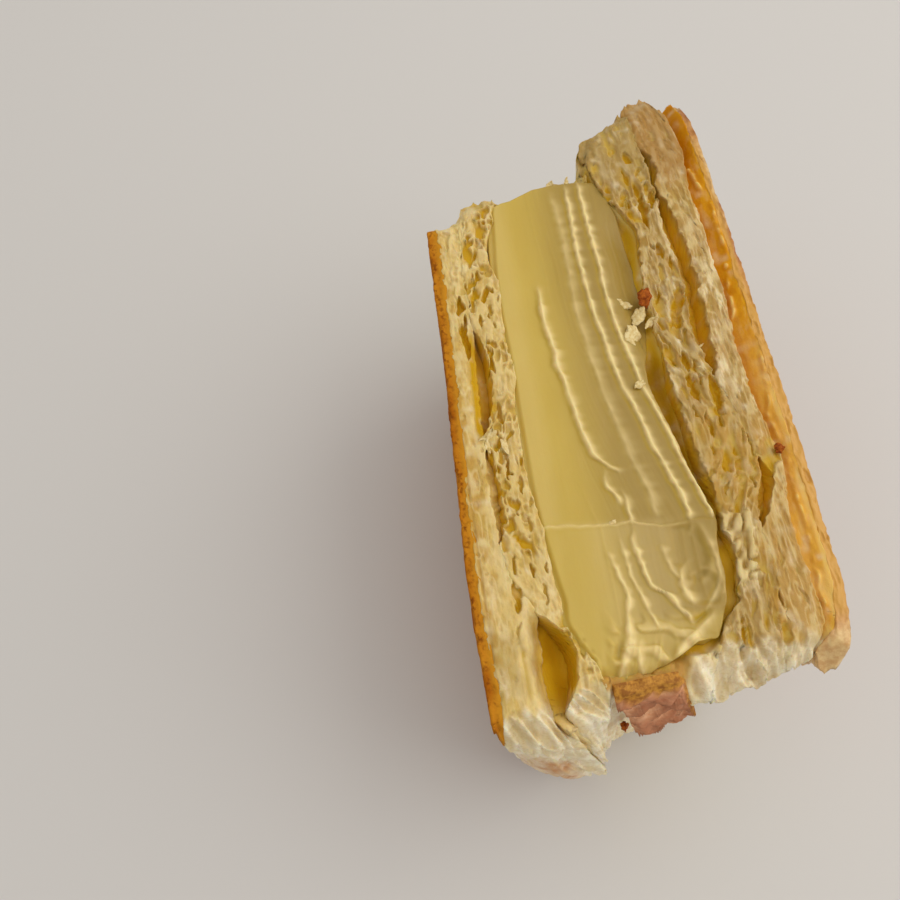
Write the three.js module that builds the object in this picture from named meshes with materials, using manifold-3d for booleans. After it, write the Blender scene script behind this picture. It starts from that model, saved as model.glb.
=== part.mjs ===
// Half of a square cream-filled puff pastry. The whole was cut lengthwise and this half lies on its
// uncut side, so the cut face points up (+Z) and shows the layers: bottom crust at -X, then dough,
// cream and dough, and the glazed top crust at +X. The length runs along Y. Millimetres.
import * as THREE from "three";
import { mergeVertices } from "three/addons/utils/BufferGeometryUtils.js";
import Module from "manifold-3d";

const wasm = await Module();
wasm.setup();

// ---- driving dimensions -----------------------------------------------------------------------
const THICK = 51; // bottom crust to top crust, measured on the cut face
const DEPTH = 60; // cut face down to the uncut side
const NEAR_SLANT = 6.5; // how far the near end leans back from bottom crust to top crust
const NEAR_BULGE = 5; // the near end swells outwards at mid depth
const NEAR_FADE = 0.45; // less so, by this share, at the top crust
const SWELL_HIGH = 1.15; // the swell is highest a little above mid depth
const FAR_BULGE = 3; // and so does the far end
const CRUST_DOME = 2.4; // the top crust swells outwards half way along
const BOTTOM_TUCK = 14; // the bottom crust curves in where it meets the uncut side
const TUCK_POWER = 1.6;
const TOP_TUCK = 5; // the top crust curves in there
const CORNER_R = 2.5; // rounding of the four upright edges
const UNDER_R = 6; // rounding all round the uncut side

// Where the far end lies, from bottom crust (share 0) to top crust (share 1): each group of layers
// rose to its own length.
const FAR_STEPS = [
  [0, 87],
  [0.22, 89],
  [0.3, 92],
  [0.56, 94.5],
  [0.61, 100],
  [0.9, 109],
  [1, 107],
];

const CREAM_LEFT = 12; // the cream's edge towards the bottom crust
const CREAM_WIDTH = 20;
const CREAM_SPREAD = 5.5; // it widens by this much towards the near end,
const SPREAD_AT = 0.21; // most at this share of its length
const CREAM_TAPER = 1.5; // and narrows by this much towards the far end
const CREAM_BLUNT = 0.12; // the share of its length in which it narrows to a blunt near end
const CREAM_SHOULDER = 4; // by this much at the left
const CREAM_NEAR = 6;
const CREAM_FAR = 91.5;
const CREAM_DEPTH = 38;
const CREAM_SUNK = 0.6; // its knife-smoothed surface lies this far below the cut face
const CREAM_BELLY = 0.35; // its sides draw in towards the bottom by this share
const CREAM_LEAN = 5; // and its bottom is shifted, as the bottom crust curves up
const CREAM_R = 3;
const RIDGES = [
  // share of the width, half width, height: ridges that the knife raised
  { at: 0.3, half: 0.07, height: 0.5 },
  { at: 0.5, half: 0.06, height: 0.8 },
  { at: 0.68, half: 0.06, height: 0.6 },
];
const RIDGE_SWING = 0.28; // they swing this share of the width towards the near end
const SECOND_STROKE = 0.25; // share of the length smoothed by a second stroke of the knife,
const STROKE_STEP = 0.35; // which left it this much higher
const EDGE_FALL = 0.8; // the cream's surface falls away at its edges
const CREAM_GAP = 0.3; // between cream and dough, so that the two solids stay apart

// A browned flap of dough that stands out of the near end, just below the cut face.
const TAB = { x: 17.2, y: -1.6, z: 43.5, width: 11, reach: 9, height: 14, turn: 0.12, lean: 3 };
const TAB_R = 1.5;

const CUT_ABOVE = 2; // a cutter stands this far above the cut face
const BLOCK_STEPS = { across: 17, along: 30, down: 12 };
const CREAM_STEPS = { across: 17, along: 26, down: 3 };
const TAB_STEPS = { across: 4, along: 3, down: 4 };

const lerp = (a, b, t) => a + (b - a) * t;
const clamp = (v, low, high) => Math.min(high, Math.max(low, v));
const smooth = (t) => t * t * (3 - 2 * t);

// Straight lines between [position, value] steps.
function stepped(steps, at) {
  const next = steps.findIndex(([s]) => s >= at);
  if (next <= 0) return steps[next === 0 ? 0 : steps.length - 1][1];
  const [s0, v0] = steps[next - 1];
  const [s1, v1] = steps[next];
  return lerp(v0, v1, (at - s0) / (s1 - s0));
}

// ---- shapes -----------------------------------------------------------------------------------
// Share t of a side, moved so that equal steps crowd towards both ends, or the low end alone.
const crowdEnds = (t) => t - 0.1 * Math.sin(2 * Math.PI * t);
const crowdLow = (t) => t - 0.16 * Math.sin(Math.PI * t);

// A box of size (w, l, h) with one corner at the origin. Its upright edges are rounded to r and
// its lower edges to rLow, and place(x, y, z) then carries every vertex.
function roundedBlock([w, l, h], [r, rLow], steps, place) {
  const block = new THREE.BoxGeometry(1, 1, 1, steps.across, steps.along, steps.down);
  const position = block.attributes.position;
  const p = new THREE.Vector3();
  const core = new THREE.Vector3();
  for (let i = 0; i < position.count; i++) {
    p.fromBufferAttribute(position, i).addScalar(0.5);
    p.set(w * crowdEnds(p.x), l * crowdEnds(p.y), h * crowdLow(p.z));
    const inset = lerp(rLow, r, clamp(p.z / rLow, 0, 1));
    core.set(clamp(p.x, inset, w - inset), clamp(p.y, inset, l - inset), Math.max(p.z, rLow));
    const out = p.clone().sub(core);
    const reach = Math.max(Math.abs(out.x), Math.abs(out.y), Math.abs(out.z));
    if (reach > 0) p.copy(core).addScaledVector(out.normalize(), reach);
    position.setXYZ(i, ...place(p.x, p.y, p.z));
  }
  return block;
}

// An upright prism over a closed outline of [x, y] points, from z0 to z1.
function prism(outline, z0, z1) {
  const shape = new THREE.Shape(outline.map(([x, y]) => new THREE.Vector2(x, y)));
  const made = new THREE.ExtrudeGeometry(shape, { depth: z1 - z0, bevelEnabled: false });
  return made.translate(0, 0, z0);
}

// A leaf-shaped slit: pointed at both ends, widest at the middle, and bowed sideways.
function leaf({ from, to, width, bow = 0, sections = 10 }) {
  const axis = new THREE.Vector2(to[0] - from[0], to[1] - from[1]);
  const across = new THREE.Vector2(-axis.y, axis.x).normalize();
  const edge = (t, side) => {
    const swell = Math.sin(Math.PI * t);
    const off = bow * swell + (side * width * swell) / 2;
    return [from[0] + axis.x * t + across.x * off, from[1] + axis.y * t + across.y * off];
  };
  const points = [];
  for (let i = 0; i <= sections; i++) points.push(edge(i / sections, 1));
  for (let i = sections - 1; i > 0; i--) points.push(edge(i / sections, -1));
  return points;
}

function toSolid(geometry) {
  const bare = geometry.clone();
  bare.deleteAttribute("normal");
  bare.deleteAttribute("uv");
  const merged = mergeVertices(bare, 1e-4);
  return new wasm.Manifold(
    new wasm.Mesh({
      numProp: 3,
      vertProperties: merged.attributes.position.array,
      triVerts: new Uint32Array(merged.index.array),
    }),
  );
}

function toGeometry(solid) {
  const mesh = solid.getMesh();
  const geometry = new THREE.BufferGeometry();
  geometry.setAttribute("position", new THREE.BufferAttribute(mesh.vertProperties, 3));
  geometry.setIndex(new THREE.BufferAttribute(mesh.triVerts, 1));
  geometry.computeVertexNormals();
  return geometry;
}

// ---- the pastry's outer form ------------------------------------------------------------------
// Carries a point of the straight block THICK x BOTTOM length x DEPTH to its place in the pastry.
function pastryPlace(x, y, z) {
  const share = x / THICK;
  const along = y / FAR_STEPS[0][1];
  const down = 1 - z / DEPTH;
  const swell = Math.sin(Math.PI * Math.min(1, down * SWELL_HIGH));
  const near = NEAR_SLANT * share - NEAR_BULGE * swell * (1 - NEAR_FADE * share);
  const far = stepped(FAR_STEPS, share) + FAR_BULGE * swell;
  const left = BOTTOM_TUCK * down ** TUCK_POWER;
  const right = THICK + CRUST_DOME * Math.sin(Math.PI * along) - TOP_TUCK * down ** 4;
  return [lerp(left, right, share), lerp(near, far, along), z];
}

// ---- the cream --------------------------------------------------------------------------------
// The cream's edges on the cut face, at a share of its length from the near end.
function creamEdges(share) {
  const full = smooth(clamp(share / CREAM_BLUNT, 0, 1));
  const spread = CREAM_SPREAD * Math.exp(-(((share - SPREAD_AT) / SPREAD_AT) ** 2));
  const left = CREAM_LEFT + CREAM_SHOULDER * (1 - full);
  const right = CREAM_LEFT + CREAM_WIDTH + spread * full - CREAM_TAPER * share;
  return [left, right];
}

// Height of the cream's surface: the ridges, the low step where a second stroke of the knife began,
// and the fall towards its edges.
function creamRelief(across, share) {
  const ridges = RIDGES.map(({ at, half, height }) => {
    const line = at + RIDGE_SWING * (1 - share) ** 2;
    return height * Math.exp(-(((across - line) / half) ** 2));
  });
  const step = share < SECOND_STROKE ? STROKE_STEP : 0;
  const edge = -EDGE_FALL * Math.abs(2 * across - 1) ** 6;
  return ridges.reduce((sum, height) => sum + height, step + edge);
}

// The cream's body. Grown by `grow` and carried up past the cut face, it also cuts its own pocket.
function creamGeometry({ grow = 0, cutter = false }) {
  const length = CREAM_FAR - CREAM_NEAR;
  const place = (x, y, z) => {
    const across = x / CREAM_WIDTH;
    const share = y / length;
    const lift = cutter ? CREAM_SUNK + CUT_ABOVE : creamRelief(across, share);
    const up = z < CREAM_DEPTH ? z : z + lift;
    const down = 1 - up / CREAM_DEPTH;
    const [left, right] = creamEdges(share);
    const middle = (left + right) / 2 + CREAM_LEAN * down;
    const half = ((right - left) / 2) * (1 - CREAM_BELLY * down ** 2) + grow;
    return [
      middle + (2 * across - 1) * half,
      CREAM_NEAR + lerp(-grow, length + grow, share),
      DEPTH - CREAM_SUNK - CREAM_DEPTH + up - (z <= 0 ? grow : 0),
    ];
  };
  const size = [CREAM_WIDTH, length, CREAM_DEPTH];
  return roundedBlock(size, [CREAM_R, CREAM_R], CREAM_STEPS, place);
}

// ---- cavities in the cut face -----------------------------------------------------------------
// Each is a leaf-shaped slit between layers, open at the cut face and `deep` millimetres deep.
const CAVITIES = [
  { from: [4.6, 62], to: [6.2, 27], width: 2.4, bow: 0.6, deep: 14 }, // inside the lower dough
  { from: [7.2, 18], to: [13.5, -14], width: 4.8, bow: 0.8, deep: 34 }, // opens at the near end
  { from: [31.6, 90], to: [37.5, 31], width: 3.2, bow: -0.8, deep: 16 }, // beside the cream
  { from: [37.6, 26], to: [36.2, 7], width: 3.6, bow: -0.8, deep: 15 }, // beside its near end
  { from: [39, 103], to: [43.5, 46], width: 2.6, bow: -1, deep: 16 }, // inside the upper dough
  { from: [46.2, 118], to: [49.6, 34], width: 1.7, bow: -0.5, deep: 12 }, // under the top crust
];

function tabGeometry() {
  const place = (x, y, z) => [x + TAB.lean * (1 - z / TAB.height), y, z];
  const size = [TAB.width, TAB.reach, TAB.height];
  const tab = roundedBlock(size, [TAB_R, TAB_R], TAB_STEPS, place);
  return tab.rotateZ(TAB.turn).translate(TAB.x, TAB.y, TAB.z);
}

function pastrySolid() {
  const size = [THICK, FAR_STEPS[0][1], DEPTH];
  const block = roundedBlock(size, [CORNER_R, UNDER_R], BLOCK_STEPS, pastryPlace);
  let solid = toSolid(block).add(toSolid(tabGeometry()));
  solid = solid.subtract(toSolid(creamGeometry({ grow: CREAM_GAP, cutter: true })));
  for (const cavity of CAVITIES) {
    const cutter = prism(leaf(cavity), DEPTH - cavity.deep, DEPTH + CUT_ABOVE);
    solid = solid.subtract(toSolid(cutter));
  }
  return solid;
}

// ---- assembly ---------------------------------------------------------------------------------
const finish = (color, roughness) =>
  new THREE.MeshStandardMaterial({ color, roughness, metalness: 0 });
const doughFinish = finish(0xd8b878, 0.75);
const creamFinish = finish(0xd9c98c, 0.45);

const pastry = new THREE.Mesh(toGeometry(pastrySolid()), doughFinish);
pastry.name = "pastry";
const cream = new THREE.Mesh(toGeometry(toSolid(creamGeometry({}))), creamFinish);
cream.name = "cream_filling";

// The origin is under the middle of the pastry's box, on the surface it lies on.
pastry.geometry.computeBoundingBox();
const box = pastry.geometry.boundingBox;
const half = new THREE.Group();
half.position.set(-(box.min.x + box.max.x) / 2, -(box.min.y + box.max.y) / 2, -box.min.z);
half.add(pastry, cream);

const group = new THREE.Group();
group.add(half);
export default group;
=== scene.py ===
import math

import bpy
import numpy as np
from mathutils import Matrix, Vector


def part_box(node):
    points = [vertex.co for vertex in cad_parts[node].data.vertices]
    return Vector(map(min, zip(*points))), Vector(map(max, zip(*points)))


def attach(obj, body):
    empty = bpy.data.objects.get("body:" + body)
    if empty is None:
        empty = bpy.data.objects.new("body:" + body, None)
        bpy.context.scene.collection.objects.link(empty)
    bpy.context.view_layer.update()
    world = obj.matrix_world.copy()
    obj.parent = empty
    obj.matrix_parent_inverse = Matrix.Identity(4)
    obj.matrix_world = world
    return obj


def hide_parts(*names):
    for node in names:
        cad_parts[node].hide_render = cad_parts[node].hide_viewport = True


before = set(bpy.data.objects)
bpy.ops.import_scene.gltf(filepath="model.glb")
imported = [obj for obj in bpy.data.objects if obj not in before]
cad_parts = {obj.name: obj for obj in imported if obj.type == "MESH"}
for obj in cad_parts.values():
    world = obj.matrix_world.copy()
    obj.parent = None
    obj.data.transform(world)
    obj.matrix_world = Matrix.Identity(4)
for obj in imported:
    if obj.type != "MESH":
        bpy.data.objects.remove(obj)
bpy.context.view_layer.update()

MM = 0.001
LOW, HIGH = (np.array(corner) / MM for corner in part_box("pastry"))
CUT = HIGH[2]  # height of the cut face
MID = CUT / 2
THICK = 51.0  # bottom crust to top crust on the cut face, before the top crust's swell
LENGTH = 96.0  # of a layer's outline before its ends are laid on the pastry's ends
NEAR_REACH = 4.5  # the near end bulges this far in front of the bottom crust's cut corner
ORIGIN = LOW + (0, NEAR_REACH, 0)
FAR_BULGE = 3.0
BOTTOM_TUCK = 14.0  # how far the bottom crust curves in at the uncut side
TOP_TUCK = 5.0
UNDER_ROUND = 6.0  # radius of the long edges of the uncut side
SLIT_SHADE_DEPTH = 2.4  # an open face turns to amber, painted shade, over this depth
CREAM_FLOOR = 22.0  # height of the cream's underside


# ---- numbers ----------------------------------------------------------------------------------
def smooth(low, high, v):
    """0 below low, 1 above high, and an S-shaped rise, 3t^2 - 2t^3, between them."""
    t = np.clip((v - low) / (high - low), 0, 1)
    return t * t * (3 - 2 * t)


def between(v, rise, full, fade, end):
    """0 outside rise to end, 1 from full to fade, and an S-shaped slope at each side."""
    return smooth(rise, full, v) * smooth(end, fade, v)


def bump(v, middle, half):
    """A bell of height 1 round middle, exp(-(distance / half)^2)."""
    return np.exp(-(((v - middle) / half) ** 2))


def lerp(a, b, t):
    """The point a share t of the way from a to b."""
    return a + (b - a) * t


def most(*values):
    """The highest of several arrays at each point."""
    highest = values[0]
    for value in values[1:]:
        highest = np.maximum(highest, value)
    return highest


def scatter(i, j, k, seed):
    """A random number from 0 to 1 fixed for each whole-number point: its bits are multiplied by
    large odd numbers and folded over themselves."""
    h = (i * 73856093) ^ (j * 19349663) ^ (k * 83492791) ^ (seed * 2654435761)
    for _ in range(2):
        h = ((h ^ (h >> 15)) * 0x2C1B3C6D) & 0xFFFFFFFF
    return (h ^ (h >> 16)) / 2**32


def noise(x, y, z=0.0, seed=0):
    """Smooth noise from -1 to 1: the random numbers at the eight corners of each unit cube, mixed
    by S-shaped shares of the way across it."""
    x, y, z = np.broadcast_arrays(x, y, z)
    base = [np.floor(v).astype(np.int64) for v in (x, y, z)]
    share = [smooth(0, 1, v - b) for v, b in zip((x, y, z), base)]
    total = 0.0
    for corner in np.ndindex(2, 2, 2):
        weight = 1.0
        for side, s in zip(corner, share):
            weight = weight * (s if side else 1 - s)
        total = total + weight * scatter(*(b + c for b, c in zip(base, corner)), seed)
    return 2 * total - 1


def drift(x, y, wide, long, seed):
    """Smooth noise that changes over those millimetres in x and in y."""
    return noise(x / wide, y / long, seed=seed)


def rough(x, y, z=0.0, seed=0, octaves=3):
    """Noise summed over octaves, each twice as fine and half as high as the one before."""
    return sum(noise(x * 2**n, y * 2**n, z * 2**n, seed + n) / 2**n for n in range(octaves))


def cells(u, v, seed):
    """Cells round one random seed point in each unit square: for each point, how much nearer its
    nearest seed is than the next (0 on a wall), and a random number that the cell has."""
    iu, iv = np.floor(u).astype(np.int64), np.floor(v).astype(np.int64)
    nearest, second, own = np.full(u.shape, 9.0), np.full(u.shape, 9.0), np.zeros(u.shape)
    for du, dv in np.ndindex(3, 3):
        cu, cv = iu + du - 1, iv + dv - 1
        away = np.hypot(u - cu - scatter(cu, cv, 1, seed), v - cv - scatter(cu, cv, 2, seed))
        closer = away < nearest
        second = np.where(closer, nearest, np.minimum(second, away))
        own = np.where(closer, scatter(cu, cv, 3, seed), own)
        nearest = np.where(closer, away, nearest)
    return second - nearest, own


def straight(points, v):
    """The value at v on straight lines through (v, value) points."""
    return np.interp(v, *np.array(points).T)


def curve(points, y):
    """x at y on a smooth curve through (y, x) points: cubic pieces whose slope at each point is
    that of the line between its two neighbours."""
    ys, xs = np.array(points, float).T
    slope = np.gradient(xs, ys)
    y = np.clip(y, ys[0], ys[-1])
    i = np.clip(np.searchsorted(ys, y) - 1, 0, len(ys) - 2)
    span = ys[i + 1] - ys[i]
    t = (y - ys[i]) / span
    start = (2 * t**3 - 3 * t**2 + 1) * xs[i] + (t**3 - 2 * t**2 + t) * span * slope[i]
    end = (3 * t**2 - 2 * t**3) * xs[i + 1] + (t**3 - t**2) * span * slope[i + 1]
    return start + end


# ---- the pastry's outer form ------------------------------------------------------------------
# Where the layers end at the far end, as (x, y), on the cut face and deeper down.
FAR_EDGE = [(-2, 85.8), (4, 86.4), (6.2, 88), (7, 90), (11, 92), (15, 91.2), (20, 93.4),
            (24, 94.6), (28.5, 94.6), (30.2, 94.8), (30.7, 98.4), (31.5, 101.6), (32.4, 104.0),
            (34, 104.9), (36.5, 106.6), (40, 108.7), (44.5, 111.8), (46.6, 112.2), (47.2, 107.4),
            (48.6, 108.6), (51.0, 110.6), (51.8, 108.8), (52.6, 103)]
FAR_DEEP = [(-1, 86.0), (10, 91.5), (20, 94.0), (30, 94.6), (31.5, 98), (34, 101.5), (40, 104.5),
            (50, 106.5), (54, 104)]
# Where they end at the near end on the cut face, as (x, y), how far that end bulges out (or draws
# in) at mid depth, and how far it leans back by the time it reaches the table.
NEAR_EDGE = [(-1, 0.4), (2, -0.8), (6, -1.4), (11, -1.2), (16, 0.2), (22, 1.6), (28, 1.1),
             (34, 1.7), (40, 3.2), (43, 4.0), (45.6, 4.8), (46.6, 3.4), (50, 3.2), (52, 5.0),
             (54, 7)]
NEAR_BULGE = [(-1, -3.0), (2, 0.0), (6, 2.8), (11, 3.2), (16, 1.2), (22, -0.4), (30, -1.2),
              (45, -2.2), (50, -3.0), (54, -4.0)]
NEAR_LEAN = [(14, 0), (20, 2.0), (28, 3.6), (43, 6.0), (50, 10.0)]
# Where the cut face begins to fall away to the near end, and to the far end, as (x, y).
NEAR_SHOULDER = [(-1, 1.0), (3, 3.0), (7, 4.0), (10, 4.2), (13, 6.8), (16, 5.6), (20, 4.6),
                 (27, 5.6), (29, 8.4), (34, 9.6), (38, 9.6), (44, 8.6), (47, 9.6), (51, 7.0)]
FAR_SHOULDER = [(-1, 84.6), (5, 84), (8, 86), (13, 88.5), (18, 90), (27, 92), (31, 97),
                (36, 100), (42, 104.5), (46, 107.5), (52, 104)]


def across(x, z):
    """x on the cut face carried down to height z: the bottom crust curves in with the depth to the
    power 1.6, the top crust with its fourth power, and all between moves in proportion."""
    down = np.clip(1 - z / CUT, 0, 1)
    left = BOTTOM_TUCK * down**1.6
    right = THICK - TOP_TUCK * down**4
    return left + x * (right - left) / THICK


def swell(z):
    """How far the ends bulge at height z: half a sine wave, highest a little above mid depth."""
    return np.sin(math.pi * np.minimum(1, 1.15 * (1 - z / CUT)))


def wrinkles(x, z, seed):
    """Height of the skin at an end: soft folds, slanting wrinkles whose crests are sharper than
    their valleys, and a few edges of thin layers."""
    slant = x + 0.22 * z + 1.4 * drift(x, z, 7, 9, seed)
    creased = 1 - np.abs(drift(slant, z, 1.7, 9, seed + 1))
    fine = 1 - np.abs(drift(slant, z, 0.7, 4, seed + 2))
    soft = drift(x, z, 7, 6, seed + 3) + 0.5 * drift(x, z, 3, 3.5, seed + 4)
    bent = x + drift(x, z, 9, 16, seed + 5)
    fine_bent = bent + 0.3 * drift(x, z, 2, 5, seed + 6)
    layers = 0.45 * np.abs(np.sin(math.pi * bent / 2.9)) ** 0.6 + 0.18 * np.abs(
        np.sin(math.pi * fine_bent / 0.97))
    return 0.7 * soft + 0.5 * creased**2 + 0.2 * fine**2 + layers


def near_end(x, z):
    """y of the near end: its outline on the cut face, how far it leans back and bulges, a recess
    behind the flap, and the wrinkles."""
    recess = 2.6 * between(x, 16.5, 18, 27, 29) * smooth(17, 13, CUT - z)
    lean = straight(NEAR_LEAN, x) * (1 - z / CUT)
    bulge = straight(NEAR_BULGE, x) * swell(z)
    return straight(NEAR_EDGE, x) + recess + lean - bulge - wrinkles(x, z, 11) + 0.9


def far_end(x, z):
    """y of the far end: its outline on the cut face, which grows even over the first few
    millimetres of depth, the bulge at mid depth and the wrinkles."""
    outline_y = lerp(straight(FAR_EDGE, x), straight(FAR_DEEP, x), smooth(1, 9, CUT - z))
    torn = 0.45 * rough(x / 0.8, z / 1.2, seed=24) * smooth(4, 0, CUT - z)
    return outline_y + FAR_BULGE * swell(z) + wrinkles(x, z, 23) - 0.7 + torn


def falling(x, y):
    """Share of the way from the cut face over each end's shoulder: 0 on the cut, 1 at the end."""
    start = straight(NEAR_SHOULDER, x) + 0.5 * drift(x, y, 1.2, 1.5, 31)
    stop = straight(NEAR_EDGE, x) - 0.4
    near = np.clip((start - y) / np.maximum(start - stop, 0.5), 0, 1)
    start = straight(FAR_SHOULDER, x) + 0.6 * drift(x, y, 1.5, 2, 32)
    stop = straight(FAR_EDGE, x)
    far = np.clip((y - start) / np.maximum(stop - start, 0.5), 0, 1)
    return near, far


def folds(x, y):
    """Depth from 0 to about 1 of the folds that run slanting down the near end's shoulder."""
    slant = x + lerp(0.5, 0.95, smooth(16, 11, x)) * y + 0.8 * drift(x, y, 3, 4, 33)
    return np.abs(drift(slant, y, 1.0, 4.5, 34)) + 0.5 * drift(x, y, 2.2, 2.4, 35)


def shoulder(near, far, x, y):
    """Depth of the rounded shoulders at those shares of the way, which fall off ever faster, and
    of the folds that run down the near one."""
    strong = 1.3 + 0.6 * smooth(16, 11, x) + 1.1 * between(x, 27, 30, 43, 46)
    return 6.0 * near**2.2 + 1.6 * far**2.2 + strong * folds(x, y) * smooth(0, 0.5, near)


# ---- meshes -----------------------------------------------------------------------------------
def closed_faces(rows, around, copies=1):
    """Corner numbers of the faces of a grid that closes on itself: quads between its inner rows,
    and fans from the point at each end. Points are numbered pole, inner rows, pole."""
    inner = rows - 2
    row, col = np.meshgrid(np.arange(inner - 1), np.arange(around), indexing="ij")
    a = 1 + row * around + col
    b = 1 + row * around + (col + 1) % around
    quads = np.stack([a, b, b + around, a + around], -1).reshape(-1, 4)
    ring = np.arange(around)
    after = (ring + 1) % around
    first = np.stack([np.zeros_like(ring), 1 + after, 1 + ring], -1)
    last_row = 1 + (inner - 1) * around
    tip = np.full_like(ring, inner * around + 1)
    last = np.stack([tip, last_row + ring, last_row + after], -1)
    fans = np.concatenate([first, last])
    shift = (inner * around + 2) * np.arange(copies)[:, None, None]
    return (quads + shift).reshape(-1, 4), (fans + shift).reshape(-1, 3)


def flat_points(grid):
    """A (..., rows, around, k) grid as a list, with its first and last row each one point."""
    lead, k = grid.shape[:-3], grid.shape[-1]
    first, last = grid[..., 0, :1, :], grid[..., -1, :1, :]
    inner = grid[..., 1:-1, :, :].reshape(*lead, -1, k)
    return np.concatenate([first, inner, last], -2).reshape(-1, k)


def outward(points, quads, fans):
    """True if the faces point out: the sum of their corners' triple products is positive."""
    tris = np.concatenate([quads[:, :3], quads[:, [0, 2, 3]], fans])
    a, b, c = points[tris[:, 0]], points[tris[:, 1]], points[tris[:, 2]]
    return np.einsum("ij,ij->i", a, np.cross(b, c)).sum() > 0


def build(name, grid, material, marks=None, node="pastry", slot="baked_dough"):
    """One piece from a grid of points in millimetres, (..., rows, around, 3), with each array of
    marks stored as a point attribute."""
    copies = int(np.prod(grid.shape[:-3]))
    quads, fans = closed_faces(*grid.shape[-3:-1], copies)
    points = flat_points(grid)
    if not outward(points - points.mean(0), quads, fans):
        quads, fans = quads[:, ::-1], fans[:, ::-1]
    mesh = bpy.data.meshes.new(name)
    mesh.vertices.add(len(points))
    mesh.vertices.foreach_set("co", ((points + ORIGIN) * MM).astype(np.float32).ravel())
    corners = np.concatenate([quads.ravel(), fans.ravel()]).astype(np.int32)
    mesh.loops.add(len(corners))
    mesh.loops.foreach_set("vertex_index", corners)
    fan_starts = 4 * len(quads) + 3 * np.arange(len(fans))
    starts = np.concatenate([4 * np.arange(len(quads)), fan_starts]).astype(np.int32)
    mesh.polygons.add(len(starts))
    mesh.polygons.foreach_set("loop_start", starts)
    mesh.polygons.foreach_set("use_smooth", np.ones(len(starts), bool))
    mesh.update(calc_edges=True)
    for key, values in (marks or {}).items():
        attribute = mesh.attributes.new(key, "FLOAT", "POINT")
        shown = np.broadcast_to(values, grid.shape[:-1])[..., None]
        attribute.data.foreach_set("value", flat_points(shown).astype(np.float32).ravel())
    mesh.materials.append(material)
    piece = bpy.data.objects.new(name, mesh)
    bpy.context.scene.collection.objects.link(piece)
    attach(piece, "root")
    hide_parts(node)
    return piece


# ---- pores and tears in the cut edge ----------------------------------------------------------
def sandy(x, y, seed):
    """Depth of close, sandy crumb: noise at three sizes, and a few pin holes."""
    grains = 0.09 * rough(x / 0.45, y / 0.6, seed=seed, octaves=2)
    gap, own = cells(x / 0.7, y / 1.1, seed + 3)
    pin_holes = 0.5 * smooth(0.8, 0.95, own) * smooth(0.1, 0.4, gap)
    return grains + pin_holes + 0.14 * drift(x, y, 1.3, 3.2, seed + 5)


def web(x, y, seed, width=1.1, length=3.4, deep=1.4, thin=1.15):
    """Depth between thin sheets seen on edge: they stand where either of two stretched noises is
    near zero, thicker where it changes slowly, and rise and sink along their length. The dough
    between them is sunk to a depth that varies from place to place."""
    u = x + 0.5 * drift(x, y, 2.4, 4.2, seed) + 0.2 * drift(x, y, 1, 1.7, seed + 1)
    first = np.abs(drift(u, y, width, length, seed + 2)) / 0.55
    second = np.abs(noise(u / (0.8 * width), y / (0.42 * length), 3.3, seed=seed + 3)) / 0.5
    apart = np.minimum(first, second) + 0.12 * drift(x, y, 0.35, 0.6, seed + 4)
    varied = 0.16 + 0.84 * smooth(-0.5, 0.5, drift(x, y, 2.1, 4.5, seed + 5))
    sunk = 0.9 * smooth(0.0, 0.9, drift(x, y, 1.3, 3.0, seed + 6))
    torn = 0.1 * rough(x / 0.4, y / 0.8, seed=seed + 7, octaves=2)
    return deep * varied * smooth(0.12, thin, apart) + sunk + torn


def hollows(x, y, places, seed):
    """Depth of single large pores. Each is (x, y, width, length, depth, lean, soft): between an
    ellipse and a lens with pointed ends, along the layers, leaning in x by that share of its
    length, with a ragged rim. Its floor slopes down from the left over a fifth of its width, or
    over more of it where soft is above 0."""
    ragged = 0.22 * rough(x / 0.8, y / 1.5, seed=seed) + 0.12 * drift(x, y, 2, 3, seed + 5)
    warp_x = 0.45 * drift(x, y, 0.9, 1.5, seed + 6) + 0.2 * drift(x, y, 0.4, 0.7, seed + 7)
    warp_y = 0.9 * drift(x, y, 1.1, 1.9, seed + 8)
    x, y = x + warp_x, y + warp_y
    deepest = np.zeros(np.broadcast(x, y).shape)
    for px, py, width, length, depth, lean, soft in places:
        right, up = 2 * (x - px - lean * (y - py)) / width, 2 * (y - py) / length
        away = 0.5 * np.hypot(right, up) + 0.5 * (np.abs(right) + up**2) + ragged
        floor = 0.2 + 0.8 * smooth(-1.0, 1.6 * soft - 0.6, right)
        floor = floor * (0.7 + 0.3 * smooth(1.0, 0.3, away))
        deepest = np.maximum(deepest, depth * floor * smooth(1.08, 0.84, away))
    return deepest


# ---- layers -----------------------------------------------------------------------------------
FACE_STEPS = np.array([0.25, 0.6, 1.1, 1.8, 2.7, 3.9, 5.5, 7.5, 10, 13, 17, 22, 26, MID])
END_ROWS, UNDER_ROWS = 75, 36


def outline(step):
    """(y, z) round a layer seen from its side: a rectangle with fine steps along the cut edge,
    wider ones down the ends and along the underside, and its two lower corners rounded."""
    count = int(LENGTH / step)
    top = np.arange(count) / count
    end = np.arange(END_ROWS) / END_ROWS
    under = np.arange(UNDER_ROWS) / UNDER_ROWS
    y = np.concatenate([top * LENGTH, np.full(END_ROWS, LENGTH), (1 - under) * LENGTH, 0 * end])
    z = CUT - CUT * np.concatenate([0 * top, end**1.35, 0 * under + 1, (1 - end) ** 1.35])
    r = UNDER_ROUND
    core_y, core_z = np.clip(y, r, LENGTH - r), np.maximum(z, r)
    out_y, out_z = y - core_y, z - core_z
    reach = np.maximum(np.abs(out_y), np.abs(out_z))
    size = np.maximum(np.hypot(out_y, out_z), 1e-9)
    return core_y + out_y / size * reach, core_z + out_z / size * reach


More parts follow.
